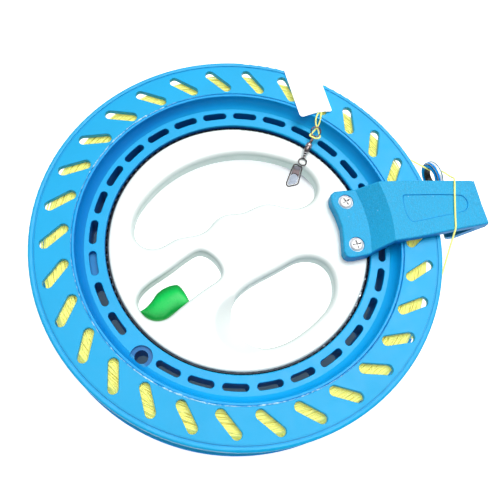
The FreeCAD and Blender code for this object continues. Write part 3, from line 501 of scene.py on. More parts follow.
m_line = line_mat("line_yellow", lin(244, 243, 128), 0.5)
m_line_free = line_mat("line_yellow_free", lin(246, 246, 130), 0.25, glow=0.30)
m_line_front = line_mat("line_yellow_bright", lin(255, 253, 136), 1.0, p=0.9, glow=0.19)

m_core = Mat("line_shadow", lin(150, 128, 34), 0.8)
cn = m_core.noise(700.0, 4.0)
m_core.color(m_core.mix(m_core.rng(cn, 0.35, 0.65, 0, 1), lin(205, 190, 82), lin(240, 228, 120)))
m_core.bump(cn, 0.6, 0.0003)


def metal(name, col, rough, brushed=0.0, tint=None, spot=0.0):
    a = Mat(name, col, rough, Metallic=1.0)
    n1 = a.noise(240.0, 4.0)
    c = a.mix(a.rng(n1, 0.3, 0.7, 0, 1), shade(col, 0.86), shade(col, 1.08))
    if tint is not None:
        c = a.mix(a.rng(a.noise(520.0, 3.0), 0.45, 0.62, 0.0, 1.0), c, tint)
    a.color(c)
    a.rough(a.rng(a.noise(900.0), 0.3, 0.7, max(0.03, rough - 0.07), rough + 0.1))
    if brushed:
        a.bump(a.noise(3000.0, 2.0), brushed, 0.00005)
    return a


m_steel = metal("race_steel", [0.035, 0.04, 0.05], 0.42, 0.1)
# painted glints and pale grease specks on the races' +x side
sx_ = m_steel.node("ShaderNodeSeparateXYZ")
m_steel.link(m_steel.tc.outputs["Object"], sx_.inputs[0])
glint_and_grease_specks = m_steel.math("MULTIPLY", m_steel.rng(m_steel.noise(520.0, 3.0, 0.6), 0.60, 0.66, 0, 1),
                  m_steel.rng(sx_.outputs[0], 0.030, 0.045, 0, 1))
m_steel.color(m_steel.mix(glint_and_grease_specks, base_of(m_steel), (0.55, 0.62, 0.66)))
# painted shade: the balls are kept very dark, as deep in the bearing gap
m_ball = metal("ball_steel", [0.045, 0.055, 0.07], 0.36)
m_screw = metal("screw_nickel", [0.74, 0.74, 0.73], 0.34, 0.12)
m_chrome = metal("ring_chrome", [0.93, 0.95, 0.96], 0.36)
m_chrome.b.inputs["Metallic"].default_value = 0.25
# painted glow: the bright frame emits a little white light
m_chrome.b.inputs["Emission Color"].default_value = (0.95, 0.97, 1.0, 1)
m_chrome.b.inputs["Emission Strength"].default_value = 0.22
m_swivel = metal("swivel_dark_nickel", [0.10, 0.058, 0.05], 0.25, 0.15, tint=[0.42, 0.26, 0.22])
m_barrel = metal("swivel_barrel_nickel", [0.56, 0.44, 0.43], 0.32, 0.1)
m_snapwire = metal("snap_wire_dark", [0.045, 0.04, 0.042], 0.30, 0.1, tint=[0.12, 0.10, 0.10])
m_snap = metal("snap_plate_nickel", [0.135, 0.108, 0.114], 0.5, 0.12)
m_snaptop = metal("snap_top_nickel", [0.085, 0.085, 0.10], 0.45, 0.12)
for mm_ in (m_swivel, m_snapwire):
    mm_.b.inputs["Metallic"].default_value = 0.45
m_armscrew = metal("arm_screw_nickel", [0.86, 0.86, 0.855], 0.40, 0.12)
m_armscrew.b.inputs["Metallic"].default_value = 0.35
# painted shade: the screw heads are grey below their top face, in the recess
sz_ = m_armscrew.node("ShaderNodeSeparateXYZ")
m_armscrew.link(m_armscrew.tc.outputs["Object"], sz_.inputs[0])
m_armscrew.color(m_armscrew.mix(m_armscrew.rng(sz_.outputs[2], 0.01085, 0.01125, 1, 0), base_of(m_armscrew), (0.46, 0.465, 0.47)))
m_spring = metal("spring_steel", [0.45, 0.45, 0.46], 0.3, 0.1)

m_rubber = Mat("pad_rubber", [0.02, 0.02, 0.021], 0.75)
rb = m_rubber.noise(1200.0, 4.0)
m_rubber.color(m_rubber.mix(m_rubber.rng(rb, 0.3, 0.7, 0, 1), (0.014, 0.014, 0.015), (0.035, 0.034, 0.033)))
m_rubber.bump(rb, 0.5, 0.0001)

m_black = Mat("throat_ceramic", [0.016, 0.016, 0.02], 0.30)
m_black.b.inputs["Specular IOR Level"].default_value = 0.18
bk = m_black.noise(180.0, 3.0)
m_black.color(m_black.mix(m_black.rng(bk, 0.3, 0.7, 0, 1), (0.012, 0.012, 0.015), (0.03, 0.028, 0.03)))
m_black.rough(m_black.rng(bk, 0.3, 0.7, 0.24, 0.36))

m_sleeve = moulded("sleeve_blue", [0.0, 0.27, 0.86], 0.40, grain=0.05, specular=0.06)

m_tag = Mat("tag_paper", [0.93, 0.93, 0.925], 0.55)
pf = m_tag.noise(520.0, 5.0, 0.65)
m_tag.color(m_tag.mix(m_tag.rng(pf, 0.3, 0.7, 0, 1), (0.90, 0.90, 0.895), (0.95, 0.95, 0.945)))
# painted glow: the card emits white light
m_tag.b.inputs["Emission Color"].default_value = (1, 1, 1, 1)
m_tag.b.inputs["Emission Strength"].default_value = 0.4
m_tag.bump(pf, 0.25, 0.00008)
m_tag.bump(m_tag.noise(40.0, 2.0), 0.3, 0.0002)

m_weld = Mat("weld_flash", lin(170, 226, 250), 0.42)
m_weld.b.inputs["Specular IOR Level"].default_value = 0.25
wf = m_weld.noise(420.0, 4.0, 0.7)
wuv = m_weld.node("ShaderNodeUVMap", uv_map="along")
wsx = m_weld.node("ShaderNodeSeparateXYZ")
m_weld.link(wuv.outputs[0], wsx.inputs[0])
pale = m_weld.mix(m_weld.rng(wf, 0.40, 0.60, 0, 1), lin(40, 168, 230), lin(205, 244, 252))
m_weld.color(m_weld.mix(wsx.outputs[0], lin(24, 146, 220), pale))
m_weld.bump(wf, 0.5, 0.0002)


def give(ob, mat):
    ob.data.materials.clear()
    ob.data.materials.append(mat.m)
    return ob


# ---------------------------------------------------------------- cords
def route(points, res=24):
    """The smooth line of a cord's route, in mm."""
    cu = bpy.data.curves.new("route", "CURVE")
    cu.dimensions = "3D"
    sp = cu.splines.new("NURBS")
    sp.points.add(len(points) - 1)
    for p, q in zip(sp.points, points):
        p.co = (q[0] * MM, q[1] * MM, q[2] * MM, 1.0)
    sp.order_u = 3
    sp.use_endpoint_u = True
    sp.resolution_u = res
    cu.resolution_u = res
    ob = bpy.data.objects.new("route", cu)
    me = bpy.data.meshes.new_from_object(ob)
    line = np.array([v.co for v in me.vertices], float)
    bpy.data.meshes.remove(me)
    bpy.data.objects.remove(ob)
    bpy.data.curves.remove(cu)
    return line / MM


def rope(name, line, d, plies=4, pitch=2.6, step=0.16):
    """A laid cord of several plies round its centreline."""
    P = resample(line, step)
    T, A, B = frames_along(P)
    s = np.r_[0, np.cumsum(np.linalg.norm(np.diff(P, axis=0), axis=1))]
    rp = d * 0.255
    off = d / 2 - rp
    tb = Tubes()
    for k in range(plies):
        ph = TAU * (s / pitch + k / plies)
        Q = P + off * (A * np.cos(ph)[:, None] + B * np.sin(ph)[:, None])
        tb.add(Q, rp, sides=7)
    ob = tb.build(name)
    return ob, P * MM


LINE_D = 0.9
RUN = [(53.79, 90.59, -1.8), (111.77, 56.09, -2.0), (117.97, 55.56, 1.2), (118.66, 52.9, 4.8),
       (117.43, 39.49, 21.1), (115.51, 9.83, 21.05), (110.22, -14.32, 9.1), (93.61, -48.11, 2.6)]


def tight(points, corners, dist=5.4, push=1.0):
    """Adds a point on each side of a corner that a taut line is pulled over."""
    out = []
    P = [np.array(p, float) for p in points]
    for i, p in enumerate(P):
        if i in corners:
            a_, b_ = P[i - 1] - p, P[i + 1] - p
            la, lb = np.linalg.norm(a_), np.linalg.norm(b_)
            a_, b_ = a_ / la * min(dist, la * 0.45), b_ / lb * min(dist, lb * 0.45)
            out += [p + a_, p - (a_ + b_) / 6.0 * push, p + b_]
        else:
            out.append(p)
    return [tuple(float(x) for x in p) for p in out]


run_line = route(tight(RUN, (4, 5, 6)))
run_ob, run_path = rope("running_line_laid", run_line, LINE_D * 1.1)
give(run_ob, m_line_free)
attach(run_ob, "frame")
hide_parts("running_line")
run_len = float(np.linalg.norm(np.diff(run_path, axis=0), axis=1).sum())

LOOP = [(41.88, 79.24, 15.33), (40.9, 77.3, 15.0), (40.5, 74.6, 13.7), (41.1, 72.2, 12.1), (42.6, 70.3, 11.1),
        (43.1, 68.6, 10.5), (44.1, 66.0, 10.1), (41.7, 65.1, 10.15), (39.5, 65.9, 10.25), (37.3, 66.9, 10.15),
        (39.2, 68.6, 9.95), (40.4, 70.5, 9.95), (42.1, 72.3, 11.0), (43.2, 74.6, 13.0), (43.4, 77.0, 14.8),
        (43.69, 79.81, 15.33)]
loop_line = route(LOOP)
loop_ob, loop_path = rope("end_loop_laid", loop_line, LINE_D * 1.05)
give(loop_ob, m_line_free)
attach(loop_ob, "frame")
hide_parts("end_loop")

# ---------------------------------------------------------------- wound line
PACK_IN, PACK_EDGE, PACK_MID = 88.6, 102.0, 104.6
ZC, ZH = -3.25, 14.65


def crown(z):
    return PACK_EDGE + (PACK_MID - PACK_EDGE) * (1 - ((z - ZC) / ZH) ** 2)


tb = Tubes()


def helix_layer(z_from, z_to, pitch, depth, seed, a0=0.0, step_deg=2.2, wob=0.16, r=0.45):
    """Turns laid side by side from one flange to the other."""
    turns = abs(z_to - z_from) / pitch
    n = int(turns * 360 / step_deg) + 2
    a = np.radians(a0) + np.linspace(0, turns, n) * TAU
    z = np.linspace(z_from, z_to, n) + smooth_noise(n, int(turns * 7) + 4, wob, seed, closed=False)
    z = np.clip(z, ZC - ZH + 0.5, ZC + ZH - 0.5)
    rr = crown(z) - depth + smooth_noise(n, int(turns * 9) + 4, 0.07, seed + 1, closed=False)
    tb.add(np.stack([rr * np.cos(a), rr * np.sin(a), z], 1), r, sides=6)


helix_layer(10.6, -17.1, 0.93, 1.30, 11)
helix_layer(-17.0, 10.5, 2.15, 0.78, 12, 130.0)
helix_layer(10.5, -17.0, 3.4, 0.42, 13, 250.0)
outer_ob = tb.build("line_winding_outer")
give(outer_ob, m_line)

tb = Tubes()


def face_strands(z_top, sgn, seed):
    """Strands that show on a flange side of the pack."""
    n = 300
    a = np.arange(n) * TAU / n
    g = np.random.default_rng(seed)
    for k in range(14):
        r0 = 89.9 + 0.93 * k
        rr = r0 + smooth_noise(n, 34, 0.17, seed + k) + smooth_noise(n, 9, 0.12, seed + 50 + k)
        zz = z_top - sgn * (0.98 + 0.08 * np.abs(smooth_noise(n, 40, 1.0, seed + 90 + k)))
        if k == 13:
            rr = np.minimum(rr, 101.6)
        P = np.stack([rr * np.cos(a), rr * np.sin(a), zz * np.ones(n)], 1)
        tb.add(P, 0.45, sides=6, closed=True)
    # upper strands cross them at small angles
    for k in range(110):
        span = g.uniform(10, 40)
        start = k * 360.0 / 110 * 1.0 + g.uniform(-6, 6)
        m = int(span / 1.3) + 4
        t = np.linspace(0, 1, m)
        ang = np.radians(start + t * span)
        ra, rb = g.uniform(89.8, 101.2), 0
        rb = np.clip(ra + g.choice([-1, 1]) * g.uniform(2.5, 9.0), 89.6, 101.4)
        rr = ra + (rb - ra) * (t * t * (3 - 2 * t)) + smooth_noise(m, 6, 0.12, seed + 300 + k, closed=False)
        dip = np.clip(np.minimum(t, 1 - t) / 0.12, 0, 1)
        zz = z_top - sgn * (0.50 + 0.75 * (1 - dip))
        tb.add(np.stack([rr * np.cos(ang), rr * np.sin(ang), zz], 1), 0.40, sides=6)


face_strands(11.45, 1, 400)
# a few loose turns stand clear of the edge
for k, (a0, a1, rmax, z) in enumerate([(150, 214, 103.6, 9.4), (232, 262, 103.3, 9.2), (20, 52, 103.2, 9.0),
                                       (300, 334, 103.3, 9.3), (82, 118, 103.1, 9.1)]):
    t = np.linspace(0, 1, 60)
    ang = np.radians(a0 + (a1 - a0) * t)
    rr = 101.6 + (rmax - 101.6) * np.sin(np.pi * t) ** 0.7
    zz = z + 1.0 * np.sin(np.pi * t * 1.3)
    tb.add(np.stack([rr * np.cos(ang), rr * np.sin(ang), zz], 1), 0.43, sides=6)
front_ob = tb.build("line_winding_front")
give(front_ob, m_line_front)

tb = Tubes()
face_strands(-17.95, -1, 900)
rear_ob = tb.build("line_winding_rear")
give(rear_ob, m_line_front)

V, F = revolve("core", [(PACK_IN, -14.7), (90.4, -14.7), (90.4, -16.6), (101.0, -16.6), (102.2, -10.0),
                        (102.9, -3.25), (102.2, 3.5), (101.0, 10.1), (90.4, 10.1), (90.4, 8.2), (PACK_IN, 8.2)],
               180, closed=True)
core_ob = add_mesh("line_winding_core", V * MM, [f[::-1] for f in F], smooth=False)
give(core_ob, m_core)
for ob in (outer_ob, front_ob, rear_ob, core_ob):
    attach(ob, "wheel")
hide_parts("line_pack")
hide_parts("line_pack")

# ---------------------------------------------------------------- weld flash on the wheel's seam
n = 1400
a = np.arange(n) * TAU / n
deg = np.degrees(a)
amt = 1.0 * np.exp(-((deg - 262) / 42) ** 2) + 1.25 * np.exp(-((deg - 143) / 24) ** 2) \
    + 0.35 * np.exp(-((deg - 200) / 22) ** 2)
rag = np.abs(smooth_noise(n, 150, 1.0, 21)) * 0.5 + np.abs(smooth_noise(n, 420, 1.0, 22)) * 0.45
rr = 88.66 + smooth_noise(n, 90, 0.08, 23) + smooth_noise(n, 400, 0.05, 24)
rad = 0.15 + 0.32 * np.clip(amt, 0, 1) * np.clip(rag, 0, 1.6)
tb = Tubes()
tb.add(np.stack([rr * np.cos(a), rr * np.sin(a), 14.14 - 0.62 * (rad - 0.15)], 1), rad, sides=8, closed=True)
weld_ob = tb.build("weld_flash")
wl = weld_ob.data.uv_layers["along"]
idx = np.zeros(len(weld_ob.data.loops), np.int32)
weld_ob.data.loops.foreach_get("vertex_index", idx)
paler = np.repeat(np.clip(np.clip(amt, 0, 1) * (0.35 + 0.9 * np.clip(rag, 0, 1.3)), 0, 1), 8)
wl.data.foreach_set("uv", np.stack([paler[idx], 0 * paler[idx]], 1).astype(np.float32).ravel())
give(weld_ob, m_weld)
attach(weld_ob, "wheel")

# ---------------------------------------------------------------- thumb lever
S_EDGE = [(-50.45, -40.7), (-48.15, -38.8), (-46.15, -36.3), (-44.65, -34.0), (-43.45, -31.6),
          (-41.95, -29.7), (-39.65, -27.8), (-36.55, -26.1), (-33.45, -25.2), (-31.95, -25.4),
          (-30.45, -26.6), (-28.85, -28.4), (-26.95, -31.3), (-25.45, -34.1)]
LOW = [(-50.75, -41.5), (-49.3, -43.1), (-47.4, -44.7), (-44.9, -46.9), (-42.4, -48.4), (-39.2, -48.5),
       (-36.8, -48.1), (-34.0, -45.3), (-30.1, -41.5), (-26.4, -37.9), (-25.1, -35.6)]


def catmull(P, n):
    P = np.asarray(P, float)
    s = np.r_[0, np.cumsum(np.linalg.norm(np.diff(P, axis=0), axis=1))]
    t = np.linspace(0, s[-1], n)
    Q = np.vstack([2 * P[0] - P[1], P, 2 * P[-1] - P[-2]])
    out = []
    for x in t:
        i = min(np.searchsorted(s, x, side="right") - 1, len(P) - 2)
        u = (x - s[i]) / (s[i + 1] - s[i])
        p0, p1, p2, p3 = Q[i], Q[i + 1], Q[i + 2], Q[i + 3]
        out.append(0.5 * ((2 * p1) + (-p0 + p2) * u + (2 * p0 - 5 * p1 + 4 * p2 - p3) * u * u
                          + (-p0 + 3 * p1 - 3 * p2 + p3) * u ** 3))
    return np.array(out)


def lever_mesh():
    ns, nt = 90, 64
    A = catmull(S_EDGE, ns)
    Bb = catmull(LOW, ns)
    V = []
    lip = 0.80
    for i in range(ns):
        s = i / (ns - 1)
        if s < 0.62:
            g = 0.34 + 0.66 * math.sin(math.pi / 2 * s / 0.62) ** 1.25
        else:
            g = 0.26 + 0.74 * math.sqrt(max(0.0, 1 - ((s - 0.62) / 0.385) ** 2))
        for j in range(nt + 1):
            t = j / nt
            p = A[i] * (1 - t) + Bb[i] * t
            u = min(1.0, t / lip)
            if u < 0.50:
                f = math.sqrt(max(0.0, 1 - ((0.50 - u) / 0.508) ** 2))
                z = 0.7 + 3.55 * f * (0.35 + 0.65 * g)
            else:
                top = 0.7 + 3.55 * (0.35 + 0.65 * g)
                low = min(2.25, top)
                z = low + (top - low) * math.sqrt(max(0.0, 1 - ((u - 0.50) / 0.52) ** 2))
            V.append((p[0], p[1], min(z, 4.29)))
    F = []
    w_ = nt + 1
    for i in range(ns - 1):
        for j in range(nt):
            a_ = i * w_ + j
            F.append((a_, a_ + 1, a_ + w_ + 1, a_ + w_))
    # skirt and underside
    loop = [i * w_ for i in range(ns)] + [(ns - 1) * w_ + j for j in range(1, w_)] \
        + [i * w_ + nt for i in range(ns - 2, -1, -1)] + [j for j in range(nt - 1, 0, -1)]
    base = len(V)
    for k in loop:
        V.append((V[k][0], V[k][1], -2.35))
    m = len(loop)
    for k in range(m):
        k2 = (k + 1) % m
        F.append((loop[k], loop[k2], base + k2, base + k))
    F.append(tuple(base + k for k in range(m)))
    return V, F


V, F = lever_mesh()
luv = np.array([(i / 89, j / 64) for i in range(90) for j in range(65)] + [(0, 0)] * (len(V) - 90 * 65), float)
lever_ob = add_mesh("thumb_lever_pad", np.array(V) * MM, [f[::-1] for f in F], luv)
gu = m_green.node("ShaderNodeUVMap", uv_map="along")
gs_ = m_green.node("ShaderNodeSeparateXYZ")
m_green.link(gu.outputs[0], gs_.inputs[0])
# painted shade: the lever's green darkens towards its edges and ends, full colour in its middle
e1 = m_green.rng(gs_.outputs[1], 0.0, 0.30, 0, 1)
e2 = m_green.rng(gs_.outputs[1], 0.46, 0.86, 1, 0)
e3 = m_green.rng(gs_.outputs[0], 0.84, 1.0, 1, 0.15)
e4 = m_green.rng(gs_.outputs[0], 0.02, 0.50, 0.30, 1)
for nd in m_green.t.nodes:
    if nd.bl_idname == "ShaderNodeMapRange" and nd is not None and nd.inputs[0].links and \
            nd.inputs[0].links[0].from_node == gs_:
        nd.interpolation_type = "SMOOTHSTEP"
lever_shade_mask = m_green.math("MULTIPLY", m_green.math("MULTIPLY", e1, e2), m_green.math("MULTIPLY", e3, e4))
m_green.color(m_green.mix(lever_shade_mask, lin(0, 140, 52), base_of(m_green)))
give(lever_ob, m_green)
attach(lever_ob, "brake")


def pieces_mesh(name, parts):
    VV, FF, n0 = [], [], 0
    for V, F in parts:
        V = np.asarray(V, float)
        VV.append(V)
        FF += [tuple(i + n0 for i in f) for f in F]
        n0 += len(V)
    return add_mesh(name, np.vstack(VV) * MM, FF)


def sector_mesh(r0, r1, z0, z1, a0, a1, n=24):
    V, F = [], []
    for k in range(n + 1):
        a_ = math.radians(a0 + (a1 - a0) * k / n)
        for r, z in ((r0, z0), (r1, z0), (r1, z1), (r0, z1)):
            V.append((r * math.cos(a_), r * math.sin(a_), z))
    for k in range(n):
        for j in range(4):
            a_, b_ = k * 4 + j, k * 4 + (j + 1) % 4
            F.append((a_, a_ + 4, b_ + 4, b_))
    F.append((0, 1, 2, 3))
    F.append((n * 4 + 3, n * 4 + 2, n * 4 + 1, n * 4))
    return V, F


hubV, hubF = revolve("h", round_prof([(1.32, -2.38), (3.2, -2.38), (3.2, 0.38), (1.32, 0.38)], 0.2), 48,
                     origin=(-39.8, -49.2, 0), closed=True)
arm_parts = pieces_mesh("thumb_lever_arm", [(hubV, hubF), sector_mesh(61.6, 65.2, -2.38, 0.38, 231.5, 246.4),
                                            sector_mesh(62.2, 69.2, -4.22, -2.0, 240.1, 246.4)])
arm_parts.data.polygons.foreach_set("use_smooth", [False] * len(arm_parts.data.polygons))
give(arm_parts, m_green)
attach(arm_parts, "brake")
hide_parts("brake_lever")
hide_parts("brake_lever")

# ---------------------------------------------------------------- folded tag
DU, DV = np.array([0.954, 0.30, 0.0]), np.array([-0.30, 0.954, 0.0])
T0 = np.array([31.2, 76.2, 0.0])
TW, TL = 19.2, 33.0


def tag_leaf(z0, bow, th, seed, corner=1.6, w_in=0.0, curl=0.0):
    """One leaf of the folded card, with rounded lower corners."""
    nu, nv = 48, 40
    us = np.r_[np.linspace(0, 2.2, 13)[:-1], np.linspace(2.2, TW - 0.8, nu - 20), np.linspace(TW - 0.8, TW, 10)[1:]]
    nu = len(us) - 1
    low = np.interp(us, [0, 0.12, 0.35, 0.75, 1.3, 2.0, 4.0, 7.5, 10.9, 14.5, 18.4, 19.0, 19.2],
                    [1.5, 0.65, 0.05, -0.5, -0.82, -0.86, -0.64, -0.22, 0.05, -0.3, -0.95, -0.75, -0.35])
    low = low + (1.6 - corner) * 0.3
    top, bot = [], []
    for j in range(nv + 1):
        for i in range(nu + 1):
            u, v = us[i], low[i] + (TL - low[i]) * j / nv
            vv = v
            z = z0 + bow * math.sin(math.pi * u / TW) * (0.4 + 0.6 * math.sin(math.pi * min(1, max(0, v) / TL)))
            z += curl * (1 - min(1.0, max(0.0, v) / 9.0)) ** 2 * (u / TW)
            p = T0 + DU * u + DV * vv
            top.append((p[0], p[1], z + th / 2))
            bot.append((p[0], p[1], z - th / 2))
    V = top + bot
    w_ = nu + 1
    N0 = len(top)
    F = []
    for j in range(nv):
        for i in range(nu):
            a_ = j * w_ + i
            F.append((a_, a_ + 1, a_ + w_ + 1, a_ + w_))
            F.append((N0 + a_, N0 + a_ + w_, N0 + a_ + w_ + 1, N0 + a_ + 1))
    ring_ = [i for i in range(w_)] + [j * w_ + nu for j in range(1, nv + 1)] \
        + [nv * w_ + i for i in range(nu - 1, -1, -1)] + [j * w_ for j in range(nv - 1, 0, -1)]
    for k in range(len(ring_)):
        a_, b_ = ring_[k], ring_[(k + 1) % len(ring_)]
        F.append((a_, N0 + a_, N0 + b_, b_))
    return V, F


parts = [tag_leaf(15.62, 0.06, 0.30, 1, curl=0.10), tag_leaf(15.04, -0.05, 0.30, 2, corner=0.9, curl=-0.05)]
fold = []
nf = 12
V, F = [], []
for i in range(27):
    for k in range(nf + 1):
        th = -math.pi / 2 + math.pi * k / nf
        for rr in (0.44, 0.14):
            p = T0 + DU * (TW * i / 26) + DV * (TL - 0.62 + rr * math.cos(th) * 1.3)
            V.append((p[0], p[1], 15.33 + rr * math.sin(th)))
w_ = (nf + 1) * 2
for i in range(26):
    for k in range(nf):
        for q in (0, 1):
            a_ = i * w_ + k * 2 + q
            f = (a_, a_ + 2, a_ + w_ + 2, a_ + w_)
            F.append(f if q == 0 else f[::-1])
for i, rev_ in ((0, 0), (26, 1)):
    for k in range(nf):
        a_ = i * w_ + k * 2
        f = (a_, a_ + 1, a_ + 3, a_ + 2)
        F.append(f[::-1] if rev_ else f)
parts.append((V, F))
tag_ob = pieces_mesh("tag_folded_card", parts)
tag_ob.data.polygons.foreach_set("use_smooth", [False] * len(tag_ob.data.polygons))
give(tag_ob, m_tag)
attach(tag_ob, "frame")
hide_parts("tag_card")

# knot of the doubled line at the tag's lower edge
tb = Tubes()
kc = T0 + DU * 15.3 + DV * 0.25 + np.array([0, 0, 15.02])
t = np.linspace(0, TAU, 60, endpoint=False)
for q, (ra, rb, tilt) in enumerate([(1.75, 0.42, 0.1), (1.35, 0.55, 0.9), (0.9, 0.5, -0.8)]):
    P = kc + DU * (ra * np.cos(t))[:, None] + DV * (rb * np.sin(t) * math.cos(tilt))[:, None] \
        + np.array([0, 0, 1.0]) * (0.22 * np.sin(t + tilt) + 0.05 * q - 0.1)[:, None]
    tb.add(P, 0.34, sides=8, closed=True)
knot_ob = tb.build("end_knot")
m_knot = line_mat("knot_yellow", lin(196, 176, 62), 0.9)
give(knot_ob, m_knot)
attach(knot_ob, "frame")

# ---------------------------------------------------------------- swivel
Bc = np.array([36.98, 59.85, 8.65])
AX = np.array([-0.411, -0.911, -0.03])
AX /= np.linalg.norm(AX)
SX = np.cross(AX, (0, 0, 1.0))
SX /= np.linalg.norm(SX)
SY = np.cross(AX, SX)


def sw(x, y, s):
    return Bc + SX * x + SY * y + AX * s


def twisted(tb, P0, P1, turns, off, r, n=70, phase=0.0):
    """Two wires wrapped round each other."""
    d = np.asarray(P1) - np.asarray(P0)
    L = np.linalg.norm(d)
    d = d / L
    x = np.cross(d, (0, 0, 1.0))
    x /= np.linalg.norm(x)
    y = np.cross(d, x)
    t = np.linspace(0, 1, n)
    for k in (0, 1):
        ph = TAU * turns * t + math.pi * k + phase
        P = np.asarray(P0) + d * (L * t)[:, None] + off * (x * np.cos(ph)[:, None] + y * np.sin(ph)[:, None])
        tb.add(P, r, sides=10)


# eye: an open wire loop that closes in a twisted neck
tb = Tubes()
up = np.array([0.0, 0.0, 1.0])
inpl = AX - up * (AX @ up)
inpl /= np.linalg.norm(inpl)
side = np.cross(up, inpl)
tilt = math.radians(33)
run = inpl * math.cos(tilt) - up * math.sin(tilt)
eye_c = Bc - AX * 9.9
eye_c = eye_c + up * 2.3 - AX * 0.2
t = np.linspace(0.16, TAU - 0.16, 160)
P = eye_c + 2.75 * (run * np.cos(t)[:, None] + side * np.sin(t)[:, None])
tb.add(P, 0.36 + 0.08 * np.cos(t * 14), sides=14)
twisted(tb, eye_c + run * 2.6, Bc - AX * 2.9, 2.6, 0.40, 0.44, phase=0.6)
collar = [(0.001, -2.9), (0.5, -2.9), (0.62, -3.15), (0.85, -3.25), (0.85, -3.0), (0.5, -2.6)]
eye_ob = tb.build("swivel_eye_wire")
give(eye_ob, m_swivel)

# barrel: two drawn cups round a waist
prof = round_prof([(0.55, -2.98), (0.95, -3.0), (1.50, -2.62), (1.86, -1.95), (1.94, -1.2), (1.92, -0.55),
                   (1.42, -0.22), (1.36, 0.0), (1.42, 0.2), (1.80, 0.5), (1.80, 1.2), (1.66, 1.9), (1.30, 2.6),
                   (0.95, 3.0), (0.55, 2.98)], 0.22, 5)
V, F = revolve("b", prof, 72, origin=Bc, ex=SX, ey=SY, ez=AX)
barrel_ob = add_mesh("swivel_barrel_body", V * MM, F)
uvl = barrel_ob.data.uv_layers.new(name="along")
idx = np.zeros(len(barrel_ob.data.loops), np.int32)
barrel_ob.data.loops.foreach_get("vertex_index", idx)
hgt = np.repeat(np.array([q[1] for q in prof]), 72)
uvl.data.foreach_set("uv", np.stack([hgt[idx] / 10 + 0.5, 0 * hgt[idx]], 1).astype(np.float32).ravel())
# painted shade: the barrel's cup on the ring's side is darker
uvn = m_barrel.node("ShaderNodeUVMap", uv_map="along")
usep = m_barrel.node("ShaderNodeSeparateXYZ")
m_barrel.link(uvn.outputs[0], usep.inputs[0])
m_barrel.color(m_barrel.mix(m_barrel.rng(usep.outputs[0], 0.49, 0.53, 0, 1), base_of(m_barrel), [0.24, 0.20, 0.20]))
give(barrel_ob, m_barrel)

# lower neck and ring
RC = np.array([34.2, 51.55, 6.15])
tb = Tubes()
p0 = sw(0, 0, 2.6)
dirr = RC - sw(0, 0, 4.1)
hd = np.array([dirr[0], dirr[1], 0.0])
hd /= np.linalg.norm(hd)
pn = RC - hd * 2.15
sd = np.cross((0, 0, 1.0), hd)
twisted(tb, p0, pn, 2.6, 0.36, 0.38, phase=0.2)
tbn = Tubes()
nd_ = (pn - p0) / np.linalg.norm(pn - p0)
nx_ = np.cross(nd_, (0, 0, 1.0))
nx_ /= np.linalg.norm(nx_)
ny_ = np.cross(nd_, nx_)
tq = np.linspace(0, TAU, 24, endpoint=False)
for kk, sc_ in enumerate((1.0, 1.0, 0.95)):
    cc_ = p0 + (pn - p0) * (0.20 + 0.30 * kk)
    tbn.add(cc_ + sc_ * (nx_ * np.cos(tq)[:, None] + ny_ * np.sin(tq)[:, None]) + nd_ * (0.22 * np.cos(tq))[:, None],
            0.27, sides=8, closed=True)
beads_ob = tbn.build("swivel_neck_coils")
# painted highlights: bright nickel rings stand in for highlights on the twisted neck
m_neck_highlight = metal("neck_coil_painted_highlight", [0.88, 0.84, 0.84], 0.3, 0.1)
give(beads_ob, m_neck_highlight)
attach(beads_ob, "frame")
t = np.linspace(0.14, TAU - 0.14, 70)
P = RC + 2.3 * (-hd * np.cos(t)[:, None] + sd * np.sin(t)[:, None])
tb.add(P, 0.37, sides=14)
ring_ob = tb.build("swivel_ring_wire")
give(ring_ob, m_snapwire)

# snap: bent wire with a folded sheet clasp
SNAP = np.array([(29.7, 50.2), (28.0, 46.4), (26.6, 42.3), (24.9, 37.2), (25.3, 35.75), (26.3, 35.4), (31.6, 37.0),
                 (32.5, 41.2), (33.3, 44.8), (34.2, 48.2)])


def closed_smooth(P, n, pull=0.42):
    """Closed outline with rounded corners."""
    P = np.asarray(P, float)
    out = []
    m = len(P)
    for k in range(m):
        a_, b_, c_ = P[k - 1], P[k], P[(k + 1) % m]
        l1, l2 = np.linalg.norm(a_ - b_), np.linalg.norm(c_ - b_)
        t_ = min(pull * min(l1, l2), 1.6)
        p, q = b_ + (a_ - b_) / l1 * t_, b_ + (c_ - b_) / l2 * t_
        for i in range(n):
            u = i / (n - 1)
            out.append((1 - u) ** 2 * p + 2 * u * (1 - u) * b_ + u * u * q)
    return np.array(out)


snap2 = closed_smooth(SNAP, 7)
P = np.c_[snap2, np.full(len(snap2), 5.73)]
P = resample(P, 0.3, closed=True)
tb = Tubes()
tb.add(P, 0.40, sides=12, closed=True)
snap_ob = tb.build("snap_bent_wire")
give(snap_ob, m_snapwire)

INNER = np.array([(29.9, 49.1), (28.6, 46.2), (27.2, 42.1), (25.8, 37.6), (26.1, 36.3), (30.9, 37.7), (31.7, 41.3),
                  (32.5, 44.9), (33.2, 47.6)])


